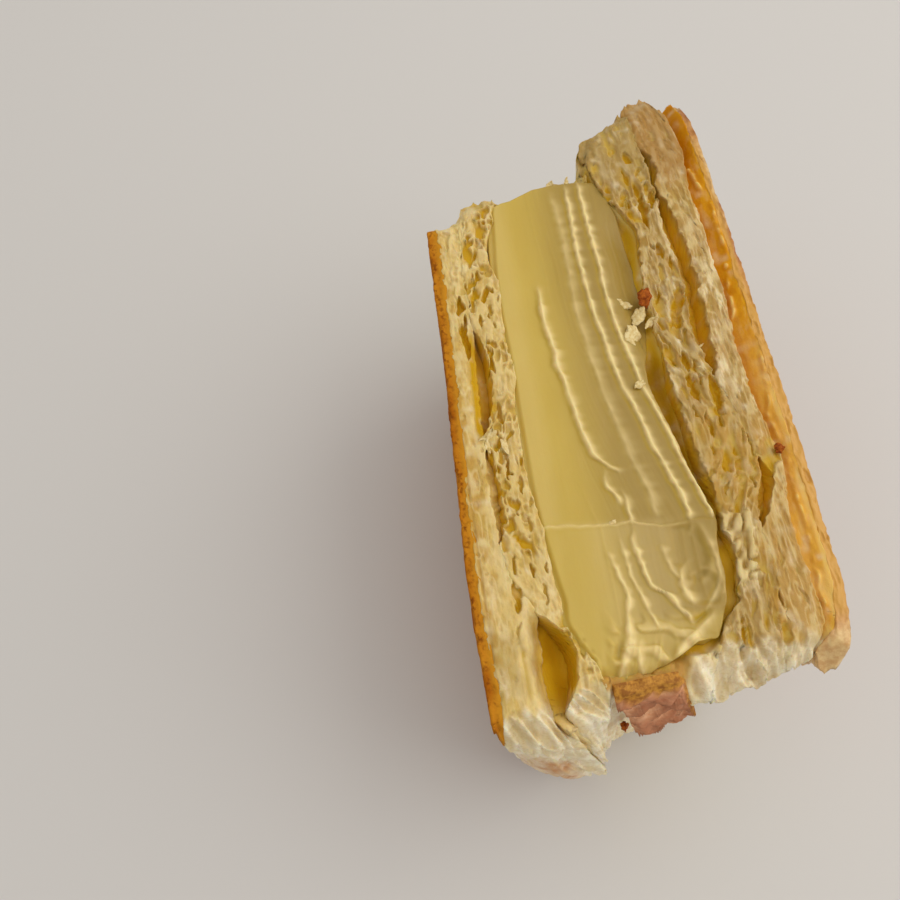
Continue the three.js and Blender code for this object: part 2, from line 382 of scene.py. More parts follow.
def dough_marks(x, y, z, full, to_end, near_fall, slit):
    """The marks that every layer of dough has. Pores deepen in colour with their full depth and
    slits turn amber down their faces, both painted shade with an amber glow of light through the
    dough. The ends and the underside have skin, whose white is taken off down the folds as painted
    shade, and the cut edge has pale fibres and painted shade over the far end's shoulder."""
    down = CUT - z
    # painted shade in the pores, amber with light through the dough, deeper with their full depth
    hollow_shade = smooth(0.25, 2.8, full) * smooth(4, 0, down) * (1 - near_fall)
    fibres = smooth(0.7, 1.0, 1 - np.abs(drift(x, y, 0.8, 3.4, 37)))
    outer = np.maximum(smooth(5.0, 0.5, to_end), smooth(9, 4, z)) * smooth(0.0, 2.5, down)
    skin = outer + smooth(0.0, 0.45, near_fall + 0.2 * drift(x, y, 1.1, 1.6, 36))
    # painted shade down the folds: the skin's white is taken off there
    broken = 0.45 * smooth(0.25, 0.7, folds(x, y)) * smooth(6, 2, down)
    crumb = 0.4 * smooth(0.4, 0.05, full) * smooth(-0.2, 0.5, drift(x, y, 0.9, 1.7, 38))
    return {
        "hollow_shade": hollow_shade,
        "slit": slit,
        "skin": np.clip(skin, 0, 1) * (1 - broken),
        "brown": np.zeros(x.shape),
        "pale": np.maximum(0.4 * fibres * (1 - hollow_shade), crumb) * smooth(1.0, 0.0, down),
        # painted shade over the far end's shoulder
        "painted_shade": smooth(86, 96, y) * smooth(1.5, 0.0, down),
    }


def layer(name, left, right, material, sunk, columns, step=0.22, ends=(near_end, far_end),
          round_end=0.3, left_steps=FACE_STEPS, right_steps=FACE_STEPS, open_left=True,
          open_right=True, relief=0.38, right_ramp=SLIT_SHADE_DEPTH, shape=None, extra=None, **where):
    """A closed slab of dough. Its outline is carried from a point in the middle of its left face,
    over that face, across the rim and back to the middle of its right face. left(y, z) and
    right(y, z) give the x of its faces, sunk(x, y) how deep the cut edge is sunk, of which the
    share relief is true depth and the rest only painted shade, and ends the y of its two ends.
    Down an open face the colour deepens to amber as painted shade, on the right one over
    right_ramp."""
    y_loop, z_loop = outline(step)
    cut_edge = smooth(CUT - 0.01, CUT, z_loop)
    thick = float(np.mean(right(np.linspace(10, 80, 9), CUT) - left(np.linspace(10, 80, 9), CUT)))
    corner = lerp(min(0.45 * thick, round_end), min(0.15, 0.2 * thick), cut_edge)
    s_rim = np.linspace(0, 1, columns)
    edge = np.clip((np.abs(2 * s_rim - 1) * thick / 2 - thick / 2)[:, None] / corner + 1, 0, 1)
    inset = np.concatenate([
        corner + left_steps[::-1, None] * (1 - corner / MID),
        corner * (1 - np.sqrt(1 - edge**2)),
        corner + right_steps[:, None] * (1 - corner / MID),
    ])
    s = np.concatenate([0 * left_steps, s_rim, 0 * right_steps + 1])[:, None]
    is_open = np.concatenate([
        0 * left_steps + open_left, 0 * s_rim, 0 * right_steps + open_right])[:, None]
    keep = 1 - inset / MID
    share = 0.5 + (y_loop / LENGTH - 0.5) * keep
    z = MID + (z_loop - MID) * keep
    rough_y = lerp(0, 92, share)
    x = lerp(left(rough_y, z), right(rough_y, z), s)
    near, far = ends
    y = lerp(near(x, z), far(x, z), share)
    x = lerp(left(y, z), right(y, z), s)
    near_fall, far_fall = falling(x, y) if ends == (near_end, far_end) else (0 * x, 0 * x)
    full = sunk(x, y)
    depth = relief * full * (1 - 0.6 * near_fall) + shoulder(near_fall, far_fall, x, y)
    z_new = CUT - depth - (CUT - z) * (1 - depth / CUT)
    to_end = np.minimum(share, 1 - share) * LENGTH
    # painted shade down an open face, amber with light through the dough
    ramp = np.where(s < 0.5, SLIT_SHADE_DEPTH, right_ramp)
    slit = is_open * smooth(0.0, 1.0, (CUT - z_new) / ramp) * smooth(1, 9, to_end)
    marks = dough_marks(x, y, z, full, to_end, near_fall, slit)
    points = np.stack([across(x, z), y, z_new], -1)
    if shape is not None:
        points = shape(points, x, y)
    if extra is not None:
        marks.update(extra(x, y, z, s, marks))
    return build(name, points, material, marks, **where)


# ---- finishes ---------------------------------------------------------------------------------
def srgb(r, g, b):
    """A colour given as 0 to 255 sRGB, as the linear colour that shaders use."""
    c = np.array([r, g, b]) / 255
    return (*np.where(c <= 0.04045, c / 12.92, ((c + 0.055) / 1.055) ** 2.4), 1.0)


class Finish:
    """A material under construction: short calls that add a node and set or link its inputs."""

    def __init__(self, name):
        self.material = bpy.data.materials.new(name)
        self.material.use_nodes = True
        self.tree = self.material.node_tree
        self.shader = self.tree.nodes["Principled BSDF"]
        self.place = self.add("ShaderNodeTexCoord").outputs["Object"]

    def add(self, kind, settings=None, **inputs):
        """A new node of that kind, with its settings made and its inputs set or linked."""
        node = self.tree.nodes.new(kind)
        for key, value in (settings or {}).items():
            setattr(node, key, value)
        for key, value in inputs.items():
            self.set(node.inputs[key.replace("_", " ")], value)
        return node

    def set(self, socket, value):
        """Links a socket to another one, or sets it to a plain value."""
        if isinstance(value, bpy.types.NodeSocket):
            self.tree.links.new(value, socket)
        else:
            socket.default_value = value

    def mark(self, name, strength=1.0):
        """A point attribute's value, times a strength."""
        value = self.add("ShaderNodeAttribute", {"attribute_name": name}).outputs["Fac"]
        return value if strength == 1.0 else self.times(value, strength)

    def times(self, a, b):
        """Two values multiplied."""
        node = self.add("ShaderNodeMath", {"operation": "MULTIPLY"})
        self.set(node.inputs[0], a)
        self.set(node.inputs[1], b)
        return node.outputs[0]

    def mix(self, share, a, b):
        """Colour b over colour a by a share. A colour is a socket or (r, g, b) in sRGB."""
        node = self.add("ShaderNodeMix", {"data_type": "RGBA"})
        self.set(node.inputs[0], share)
        for socket, colour in ((node.inputs[6], a), (node.inputs[7], b)):
            self.set(socket, srgb(*colour) if isinstance(colour, tuple) else colour)
        return node.outputs[2]

    def cover(self, colour, *coats):
        """A colour under several coats, each (share, colour), laid on in turn."""
        for share, over in coats:
            colour = self.mix(share, colour, over)
        return colour

    def patchy(self, value, a, b, edge=0.35):
        """Colour a where a value is under edge, b where it is over 1 - edge, mixed between."""
        return self.mix(self.span(value, edge, 1 - edge), a, b)

    def span(self, value, low, high, to_low=0.0, to_high=1.0):
        """A value's range from low to high, mapped smoothly to another range."""
        node = self.add("ShaderNodeMapRange", {"interpolation_type": "SMOOTHSTEP"})
        for key, number in zip(("Value", "From Min", "From Max", "To Min", "To Max"),
                               (value, low, high, to_low, to_high)):
            self.set(node.inputs[key], number)
        return node.outputs["Result"]

    def mottle(self, size, stretch=1.0, seed=0.0):
        """The mottle group's even value at that size in millimetres."""
        return self.add("ShaderNodeGroup", {"node_tree": mottle_group()}, Place=self.place,
                        Size=size, Stretch=stretch, Seed=seed).outputs["Value"]

    def relief(self, height, distance, strength):
        """Bump by a height, as deep as distance in millimetres, on top of any bump so far."""
        node = self.add("ShaderNodeBump", Strength=strength, Distance=distance * MM,
                        Height=height)
        if self.shader.inputs["Normal"].is_linked:
            self.set(node.inputs["Normal"], self.shader.inputs["Normal"].links[0].from_socket)
        self.set(self.shader.inputs["Normal"], node.outputs["Normal"])

    def surface(self, **inputs):
        """The finished material, with those inputs of its own shader set or linked."""
        for key, value in inputs.items():
            self.set(self.shader.inputs[key.replace("_", " ")], value)
        return self.material


def mottle_group():
    """Shader group: soft three-dimensional noise of a size in millimetres, which can be stretched
    along the layers. It is used by the pastry's finishes for colour and relief, and by most of them
    for roughness."""
    group = bpy.data.node_groups.get("mottle")
    if group:
        return group
    group = bpy.data.node_groups.new("mottle", "ShaderNodeTree")
    face = group.interface
    face.new_socket("Place", in_out="INPUT", socket_type="NodeSocketVector")
    for key, value in (("Size", 2.0), ("Stretch", 1.0), ("Seed", 0.0)):
        face.new_socket(key, in_out="INPUT", socket_type="NodeSocketFloat").default_value = value
    face.new_socket("Value", in_out="OUTPUT", socket_type="NodeSocketFloat")
    new, link = group.nodes.new, group.links.new
    given, result = new("NodeGroupInput"), new("NodeGroupOutput")
    narrow, scale = new("ShaderNodeMath"), new("ShaderNodeMath")
    narrow.operation = scale.operation = "DIVIDE"
    narrow.inputs[0].default_value = 1.0
    scale.inputs[0].default_value = 1 / MM
    squeeze, shift = new("ShaderNodeCombineXYZ"), new("ShaderNodeVectorMath")
    squeeze.inputs[0].default_value = 1.0
    shift.operation = "MULTIPLY"
    texture = new("ShaderNodeTexNoise")
    texture.noise_dimensions = "4D"
    texture.inputs["Detail"].default_value = 4.0
    texture.inputs["Roughness"].default_value = 0.6
    for output, socket in (
        (given.outputs["Stretch"], narrow.inputs[1]), (given.outputs["Size"], scale.inputs[1]),
        (narrow.outputs[0], squeeze.inputs[1]), (narrow.outputs[0], squeeze.inputs[2]),
        (given.outputs["Place"], shift.inputs[0]), (squeeze.outputs[0], shift.inputs[1]),
        (shift.outputs[0], texture.inputs["Vector"]), (scale.outputs[0], texture.inputs["Scale"]),
        (given.outputs["Seed"], texture.inputs["W"]), (texture.outputs[0], result.inputs["Value"]),
    ):
        link(output, socket)
    return group


def dough_finish(name, pale, deep, amber, speck=(172, 134, 54), pore_shade=(210, 164, 24),
                 tissue=(0.5, 0.5), shine=0.15, white=(240, 220, 160), shade_colour=(170, 140, 78)):
    """Baked dough: pale to golden in patches, with darker tissue and whiter tissue, the whiter in
    part a painted glint of fat, amber down in its pores and slits as painted shade, a shade colour
    painted over the far end and other shaded places, whiter on the uncut ends, with browned spots
    where the brown mark says. tissue is how much darker and whiter the tissue gets."""
    f = Finish(name)
    grain, strands = f.mottle(0.7, 2.0, 2.0), f.mottle(1.5, 3.5, 8.0)
    darker, whiter = tissue
    skin = f.patchy(f.mottle(2.6, 1.0, 6.0), (248, 236, 205), (228, 207, 162), 0.36)
    skin = f.mix(f.span(f.mottle(1.0, 0.3, 9.0), 0.5, 0.7, 0.0, 0.5), skin, (200, 172, 118))
    spots = f.span(f.mottle(1.5, 1, 7.0), 0.3, 0.6, 0.5, 1)
    colour = f.cover(
        f.patchy(f.mottle(7, 2.0, 1.0), pale, deep),
        (f.span(grain, 0.35, 0.62, 0.38, 0.0), speck),
        (f.span(strands, 0.52, 0.66, 0.0, darker), (176, 134, 60)),
        # whiter tissue, in part a painted glint of the fat
        (f.span(strands, 0.48, 0.34, 0.0, whiter), (244, 224, 178)),
        (f.mark("warm", 0.85), (192, 144, 54)),
        (f.mark("pale"), white),
        # painted shade
        (f.mark("painted_shade", 0.65), shade_colour),
        # painted shade in the pores and slits, amber with light through the dough
        (f.span(f.mark("hollow_shade"), 0.0, 0.5, 0.0, 0.9), (202, 168, 78)),
        (f.span(f.mark("hollow_shade"), 0.35, 1.0), pore_shade),
        (f.mark("slit"), amber),
        (f.mark("skin"), skin),
        (f.times(f.mark("brown"), spots), (196, 136, 82)),
    )
    f.relief(f.mottle(0.3, 1.5, 3.0), 0.1, 0.8)
    f.relief(f.mottle(1.0, 2.5, 4.0), 0.15, 0.6)
    return f.surface(
        Base_Color=colour, Roughness=f.span(grain, 0.3, 0.7, 0.42, 0.66),
        Subsurface_Weight=0.35, Subsurface_Radius=(1.0, 0.62, 0.22), Subsurface_Scale=1.2 * MM,
        Specular_IOR_Level=shine,
    )


def cream_finish():
    """Smooth butter cream: yellow in patches, greyer towards the top crust as painted shade of the
    layer beside it, a deeper yellow as painted shade in the grooves and on its sides, pale on the
    ridges' lips as a painted highlight, with a soft sheen."""
    f = Finish("cream")
    colour = f.cover(
        f.patchy(f.mottle(10, 2.5, 11.0), (207, 177, 78), (200, 169, 67), 0.3),
        # painted shade, greyer towards the top crust and inside the dents
        (f.mark("cream_shade"), (168, 138, 60)),
        # painted shade in the grooves, crack, crevice and on the sides
        (f.mark("hollow_shade"), (182, 148, 20)),
        # painted highlights on the lips, rims and blobs
        (f.mark("pale"), (238, 213, 148)),
    )
    f.relief(f.mottle(1.5, 6.0, 12.0), 0.08, 0.5)
    f.relief(f.mottle(0.5, 1.5, 14.0), 0.03, 0.5)
    return f.surface(
        Base_Color=colour, Roughness=f.span(f.mottle(2.5, 4.0, 13.0), 0.3, 0.7, 0.36, 0.5),
        Subsurface_Weight=0.45, Subsurface_Radius=(1.0, 0.7, 0.3), Subsurface_Scale=1.4 * MM,
        Specular_IOR_Level=0.4,
    )


def glazed_finish():
    """Egg-washed top crust: mottled golden to deep brown, darker on the blisters, pale where it
    creased or was never washed, under a thin glossy coat."""
    f = Finish("glazed_crust")
    fine = f.mottle(1.1, 1.0, 22.0)
    creased = f.times(f.mark("crease"), f.span(fine, 0.25, 0.6, 1.0, 0.6))
    colour = f.cover(
        f.patchy(f.mottle(6, 1.0, 21.0), (206, 138, 50), (160, 84, 16), 0.38),
        (f.span(fine, 0.42, 0.66, 0.0, 0.6), (136, 64, 8)),
        (f.mark("blister", 0.75), (124, 54, 6)),
        (creased, (222, 174, 100)),
        (f.mark("bare"), f.patchy(fine, (231, 194, 128), (208, 158, 92))),
        (f.mark("crumbly"), (214, 156, 50)),
    )
    f.relief(fine, 0.25, 0.7)
    return f.surface(Base_Color=colour, Roughness=f.span(fine, 0.3, 0.7, 0.32, 0.5),
                     Coat_Weight=0.35, Coat_Roughness=0.18, Specular_IOR_Level=0.5)


def base_finish():
    """Bottom crust: matt, mottled orange-brown, speckled darker."""
    f = Finish("base_crust")
    fine = f.mottle(0.8, 1.0, 32.0)
    colour = f.cover(
        f.patchy(f.mottle(7, 1.0, 31.0), (204, 134, 32), (166, 92, 12)),
        (f.span(fine, 0.46, 0.68), (128, 66, 12)),
        (f.mark("crumbly"), (198, 136, 34)),
    )
    f.relief(fine, 0.25, 0.9)
    return f.surface(Base_Color=colour, Roughness=0.75, Specular_IOR_Level=0.05)


def flap_finish():
    """The browned flap: orange-brown on its edges and top, pinkish brown and fibrous across the
    torn front."""
    f = Finish("browned_flap")
    fine, fibres = f.mottle(0.8, 1.0, 41.0), f.mottle(1.4, 0.35, 42.0)
    colour = f.cover(
        f.patchy(fibres, (250, 196, 150), (232, 166, 118)),
        (f.mark("streak", 0.8), (168, 100, 64)),
        (f.mark("glazed"), f.patchy(fine, (204, 142, 46), (150, 92, 22))),
    )
    f.relief(fine, 0.2, 0.8)
    f.relief(fibres, 0.3, 0.8)
    return f.surface(Base_Color=colour, Roughness=f.span(fine, 0.3, 0.7, 0.5, 0.7),
                     Specular_IOR_Level=0.35)


def crumb_finish(name, pale, dark):
    """Loose crumbs and flakes of one colour, mottled."""
    f = Finish(name)
    fine = f.mottle(0.5, 1.0, 51.0)
    f.relief(fine, 0.15, 0.8)
    return f.surface(Base_Color=f.patchy(fine, pale, dark), Roughness=0.6,
                     Specular_IOR_Level=0.12)


# ---- where the layers meet --------------------------------------------------------------------
# Each is x at a height on the cut face, as (y, x) points along the length.
BASE_OUT = [(-6, 0.0), (4, -0.5), (15, -1.1), (30, -1.1), (45, -0.7), (60, 0), (90, 0.4)]
DENSE_RIGHT = [(-8, 17.4), (-4, 16.2), (-2, 13.4), (0, 10.6), (2, 8.9), (4, 8.1), (7, 7.8),
               (10, 7.8), (14, 8.0), (17, 7.5), (20, 5.6), (26, 4.2), (30, 3.9), (42, 3.9),
               (46, 4.3), (52, 4.6), (60, 4.9), (66, 5.1), (75, 5.2), (92, 5.6)]
CREAM_LEFT = [(-8, 20.6), (-3, 19.2), (0, 17.6), (4, 16.2), (7, 15.5), (9.5, 14.7), (11.5, 13.7),
              (14, 12.7), (17, 12.8), (20, 12.4), (26, 11.7), (32, 11.2), (45, 11.1), (60, 11.2),
              (70, 11.0), (76, 11.3), (82, 11.9), (88, 12.4), (96, 13)]
CREAM_RIGHT = [(0, 30), (6, 31.0), (8.5, 32.4), (11, 33.8), (14, 35.2), (18, 36.0), (23, 36.2),
               (27, 37.0), (30, 36.3), (34, 35.2), (40, 34.1), (46, 32.9), (51, 31.9), (54, 32.2),
               (58, 33.4), (64, 34.7), (71, 35.0), (76, 34.6), (82, 34.2), (86, 33.6), (90, 32.4),
               (96, 30.4)]
AIRY_LEFT = [(-4, 31), (4, 31.5), (7, 32.4), (10, 33.9), (12, 35.0), (13.5, 36.8), (17, 38.0),
             (21, 38.6), (25.5, 37.8), (30, 38.0), (37, 37.1), (42, 36.7), (48, 36.3), (54, 35.7),
             (60, 35.5), (70, 35.5), (76, 35.8), (82, 36.1), (85.5, 34.4), (88.5, 32.9), (91, 32.0),
             (95, 31.2), (98, 30.7), (101, 30.4), (104, 31.0), (108, 33)]
AIRY_RIGHT = [(-4, 42.4), (10, 43.2), (20, 43.4), (25, 43.2), (29, 44.0), (33, 45.2), (37, 45.6),
              (42, 44.6), (50, 43.2), (53, 42.3), (56, 41.4), (60, 41.1), (65, 41.3), (70, 41.8),
              (74, 41.7), (78, 41.1), (82, 40.9), (86, 41.2), (90, 41.4), (96, 41.0), (102, 40.4),
              (110, 40.2)]
FIRM_RIGHT = [(-4, 44.6), (3, 45.2), (6, 46.6), (9, 48.2), (15, 48.6), (25, 48.1), (30, 48.6),
              (36, 49.8), (40, 48.9), (45, 48.1), (55, 47.9), (65, 48.3), (75, 48.2), (82, 48.3),
              (87, 47.7), (93, 48.2), (97, 48.6), (104, 47.7), (110, 47.0)]
GOLD_RIGHT = [(-4, 44.9), (3, 45.5), (6, 47.0), (9, 49.6), (13, 50.8), (25, 51.4), (36, 51.6),
              (50, 51.5), (60, 51.3), (80, 51.2), (95, 50.9), (104, 50.6), (110, 50.0)]
CRUST_OUT = [(-4, 49.6), (4, 50.7), (8, 51.8), (12, 52.5), (17, 52.8), (26, 53.1), (50, 53.0),
             (75, 52.7), (92, 52.4), (104, 51.9), (110, 51.3)]

# From y, to y, width and depth of the slits where two layers came apart.
SLITS = {
    "dense": [(44.6, 64.5, 2.5, 11), (26.5, 43, 2.0, 6), (2.5, 15.6, 3.6, 24),
              (-5, 16.6, 1.4, 30)],
    "cream": [(8, 29, -0.9, 4), (28, 54, -1.0, 3.5), (57, 69, -0.5, 2.5), (73.5, 86, -1.5, 5)],
    "airy": [(50.6, 72.5, 3.3, 12), (67.5, 90, 3.2, 12), (89.4, 100, 1.8, 8),
             (24.6, 36.5, 2.6, 10)],
}


def border(points, shift=0.0, seed=0, wobble=0.25, ragged=0.1, gaps=(), floors=()):
    """A face between layers, x(y, z): the curve through its points, moved by shift, wandering with
    noise, ragged like a tear near the cut face, and drawn aside by each gap (from y, to y, width,
    depth), which is half a sine wide along y and closes with depth. Under the gaps in floors the
    layer bulges out as far as they are wide, so that they have a sloping floor."""
    def opening(y, start, stop, width):
        """How wide a gap is at y."""
        along = np.clip((y - start) / (stop - start), 0, 1)
        return width * np.sin(math.pi * along) ** 0.7

    def x_at(y, z):
        x = curve(points, y) + shift + wobble * drift(y, z, 5, 7, seed)
        torn = rough(y / 0.9, z / 1.6, seed=seed + 1, octaves=2)
        x = x + (ragged + 0.1 * wobble) * torn * smooth(6, 0, CUT - z)
        for start, stop, width, deep in gaps:
            x = x + opening(y, start, stop, width) * smooth(deep, 0, CUT - z)
        for start, stop, width, deep in floors:
            x = x + opening(y, start, stop, width) * smooth(0.8, 0.45 * deep, CUT - z)
        return x
    return x_at


# Large pores in the cut edge: x, y, width, length, depth, lean and soft.
LOWER_PORES = [
    (3.8, 69.0, 1.3, 4.2, 4.0, 0.05, 0), (4.0, 63.3, 1.7, 8.2, 4.5, 0.06, 0.3),
    (6.4, 79.4, 1.9, 7.6, 2.4, 0.02, 0.5), (8.7, 71.1, 1.7, 3.8, 3.2, 0.1, 0.2),
    (5.3, 72.0, 0.7, 2.4, 2.0, 0, 0), (7.0, 65.8, 0.9, 2.8, 2.4, 0.1, 0),
    (8.3, 66.9, 0.8, 1.8, 2.0, 0, 0), (9.0, 67.8, 0.9, 1.9, 2.0, 0, 0),
    (9.1, 64.2, 0.7, 1.4, 1.5, 0, 0), (8.0, 61.4, 1.3, 1.9, 2.6, 0, 0),
    (7.6, 58.0, 1.1, 4.6, 3.2, -0.03, 0.2), (8.6, 81.2, 1.0, 3.4, 1.4, 0.1, 0.4),
    (3.1, 83.0, 1.5, 4.0, 1.2, 0, 0.5), (7.7, 77.4, 0.7, 1.4, 1.2, 0, 0),
    (6.6, 70.3, 0.8, 1.0, 1.2, 0, 0), (10.4, 70.0, 0.6, 1.2, 1.5, 0, 0),
    (7.6, 48.7, 1.2, 4.4, 3.4, 0.06, 0.2), (8.4, 44.2, 1.0, 2.0, 2.4, 0.2, 0),
    (6.4, 43.2, 1.2, 4.2, 2.6, 0.05, 0.3), (7.4, 39.2, 0.8, 5.2, 2.8, 0.03, 0),
    (5.6, 34.3, 1.1, 2.9, 2.4, 0.15, 0), (7.7, 32.6, 0.8, 3.0, 2.4, -0.1, 0),
    (6.7, 36.4, 0.6, 2.8, 1.8, 0, 0), (8.9, 36.0, 0.7, 3.4, 2.0, -0.05, 0),
    (6.7, 30.3, 0.5, 1.7, 1.4, 0.1, 0), (9.2, 29.4, 0.7, 1.9, 1.8, 0.1, 0),
    (6.2, 23.8, 0.9, 3.2, 2.2, 0.12, 0), (8.3, 22.6, 1.3, 1.9, 2.6, 0, 0),
    (10.7, 22.4, 0.8, 2.3, 1.8, 0, 0), (5.5, 18.4, 1.2, 4.6, 2.8, 0.03, 0.2),
    (9.7, 18.6, 0.7, 2.6, 1.6, 0, 0), (5.4, 13.9, 0.6, 2.7, 1.4, 0.1, 0),
    (1.0, 52.8, 0.9, 6.0, 2.0, 0, 0), (9.8, 26.2, 0.6, 2.0, 1.4, 0.1, 0),
    (8.0, 26.5, 0.5, 2.2, 1.2, 0.15, 0), (9.9, 33.0, 0.6, 2.2, 1.5, 0, 0),
    (9.6, 75.4, 0.8, 2.0, 1.6, 0, 0), (9.7, 84.0, 0.9, 3.0, 1.4, 0.1, 0.3),
]
UPPER_PORES = [
    (38.3, 77.4, 1.3, 1.8, 3.0, 0, 0), (39.5, 75.9, 1.6, 2.8, 3.4, -0.1, 0),
    (38.7, 85.4, 1.7, 7.6, 4.6, -0.05, 0.2), (40.5, 87.2, 1.5, 4.2, 4.0, 0.1, 0.3),
    (36.0, 89.3, 1.3, 2.2, 2.2, 0.2, 0), (38.4, 97.4, 1.6, 2.6, 2.6, -0.3, 0.3),
    (37.4, 93.0, 1.2, 4.8, 2.2, -0.1, 0.3), (39.3, 93.4, 1.1, 3.8, 1.8, 0.1, 0.4),
    (40.0, 65.0, 2.9, 9.6, 5.0, 0.33, 0.75), (37.6, 67.2, 0.9, 3.2, 2.8, 0.25, 0),
    (38.9, 53.8, 1.6, 3.6, 3.2, -0.05, 0.2), (39.0, 49.2, 1.4, 5.4, 3.6, -0.05, 0.2),
    (42.5, 47.7, 2.0, 6.2, 4.2, -0.05, 0.3), (40.4, 52.3, 0.8, 4.0, 3.0, -0.1, 0),
    (39.8, 42.6, 1.0, 5.4, 3.0, 0.02, 0), (38.3, 44.2, 0.7, 3.4, 2.2, -0.2, 0),
    (41.9, 43.9, 1.0, 3.0, 2.6, 0, 0), (36.8, 57.5, 0.8, 2.4, 1.8, -0.2, 0),
    (39.4, 38.0, 0.8, 2.2, 2.0, 0.2, 0), (40.9, 35.6, 1.0, 3.8, 2.4, 0.1, 0),
    (37.9, 33.2, 0.7, 2.6, 1.8, 0.3, 0), (42.2, 34.0, 0.7, 2.2, 1.8, 0.1, 0),
    (44.1, 31.6, 0.8, 3.0, 2.4, 0, 0), (40.0, 30.8, 0.6, 2.4, 1.6, 0.4, 0),
    (38.9, 71.6, 0.8, 2.8, 1.8, 0.1, 0), (41.0, 73.6, 0.9, 3.2, 2.2, -0.05, 0),
    (39.8, 59.0, 0.8, 3.4, 2.2, 0.1, 0.3), (37.6, 48.0, 0.6, 2.6, 1.6, 0, 0),
    (40.3, 20.6, 0.8, 2.6, 1.6, 0.1, 0.3), (39.2, 13.2, 1.2, 3.4, 1.6, 0.35, 0.4),
    (41.6, 23.0, 0.7, 2.4, 1.5, 0.1, 0), (36.1, 9.4, 1.4, 4.5, 0.9, -0.3, 0.6),
    (42.2, 16.8, 0.6, 3.0, 1.4, 0.1, 0), (35.6, 99.6, 1.2, 3.2, 1.2, 0.3, 0.5),
]
FIRM_PORES = [
    (46.3, 66, 0.8, 4, 0.8, 0, 0.4), (45.9, 88.0, 1.6, 4, 0.8, 0, 0.6),
    (45.0, 20, 0.7, 5, 1.2, 0.02, 0.2), (46.6, 14.0, 0.7, 4, 1.0, 0, 0.2),
    (45.9, 5.8, 1.1, 1.8, 1.6, 0.3, 0.2),
]


# ---- materials of the layers ------------------------------------------------------------------
dough = dough_finish("dough", (229, 199, 128), (212, 178, 95), (232, 186, 30),
                     tissue=(0.3, 0.3))
firm = dough_finish("firm_dough", (198, 161, 100), (181, 143, 70), (228, 180, 30),
                    tissue=(0.6, 0.75), shine=0.3, shade_colour=(160, 112, 44))
webbed = dough_finish("webbed_dough", (185, 152, 92), (167, 130, 61), (244, 196, 40),
                      pore_shade=(200, 152, 18))
gold = dough_finish("golden_dough", (225, 160, 24), (213, 141, 10), (216, 150, 12),
                    speck=(196, 120, 10), tissue=(0.0, 0.15), shine=0.08, white=(244, 210, 128))
cream = cream_finish()
glazed = glazed_finish()
base = base_finish()


# ---- lower dough: the close-grained strip beside the bottom crust -----------------------------
def to_slit(x, y):
    """How far a point lies from the strip's edge at the slits."""
    return curve(DENSE_RIGHT, y) - x


def dense_cut(x, y):
    """Sandy crumb and a few large pores. The edge rounds down into the slits beside it, and a fold
    crosses it near the end."""
    rounded = 3.4 * between(y, 43, 47, 61, 65) * smooth(1.9, 0.0, to_slit(x, y)) ** 2
    fold = 1.3 * smooth(11.6, 10.6, y + 0.5 * (x - 5.5)) * smooth(4.6, 5.2, x) * smooth(1, 6, y)
    seam = 0.9 * bump(x, 0.95, 0.22) * (0.4 + 0.6 * smooth(-0.2, 0.4, noise(y / 2.2, x, seed=40)))
    plain = sandy(x, y, 42) + 0.25 * drift(x, y, 3, 6, 44) + seam
    ribs = web(x, y, 47, 1.2, 3.0, 0.9) * smooth(60, 72, y) * smooth(1, 2, x)
    return np.maximum(plain + fold + ribs, hollows(x, y, LOWER_PORES, 43)) + rounded


def rim_slope(points, x, y):
    """Lowers the strip's edge along the V-shaped cavity in a soft slope."""
    slope = 4.0 * smooth(2.6, -0.2, to_slit(x, y)) ** 1.6 * between(y, -1.5, 1.5, 13, 17)
    points[..., 2] -= slope * np.clip(points[..., 2] / CUT, 0, 1)
    return points


def lower_marks(x, y, z, s, marks):
    """The near end is browned low down beside the bottom crust. The slope into the V-shaped cavity
    goes from a painted highlight at its top to amber painted shade at its foot, and the near part
    of the cut edge has patches of painted shade, partly a darker tone of the dough."""
    down = CUT - z
    away = to_slit(x, y)
    spots = smooth(-0.5, 0.5, drift(x, z, 2, 3, 121))
    high = 50 + 2.5 * drift(x, z, 2.5, 4, 122)
    brown = between(x, 1.5, 3.5, 10, 14) * smooth(high, high - 5, z)
    valley = between(y, 0.5, 4, 13, 17.5)
    cut_edge = (s < 1) * smooth(2, 0, down)
    beside_crust = smooth(3.0, 1.2, x + 1.3 * drift(x, y, 0.7, 1.1, 120))
    # painted shade, partly a darker tone of the dough
    near_shade = 0.55 * smooth(18, 13, y) * smooth(-0.5, 0.4, drift(x, y, 1.3, 3, 123)) * cut_edge
    # amber painted shade at the foot of the slope
    amber = 0.5 * valley * cut_edge * smooth(1.2, -0.1, away)
    return {"brown": brown * smooth(3, 0, y) * (0.5 + 0.5 * spots),
            "warm": 0.8 * beside_crust * smooth(3, 1, down) * smooth(5, 8, y),
            "slit": np.maximum(marks["slit"] * (1 - 0.6 * valley), amber),
            "painted_shade": np.maximum(marks["painted_shade"], near_shade),
            # painted highlight near the top of the slope
            "pale": np.maximum(marks["pale"], 0.45 * valley * cut_edge * bump(away, 2.2, 1.2)),
            "hollow_shade": marks["hollow_shade"] * (1 - valley * smooth(2.6, 1.6, away))}


layer("lower_dough", border(BASE_OUT, 1.5, 2, 0.15, ragged=0.22),
      border(DENSE_RIGHT, 0.3, 3, ragged=0.22, floors=SLITS["dense"][:2]), dough, dense_cut, 56,
      open_left=False, right_ramp=7.0, shape=rim_slope, extra=lower_marks)


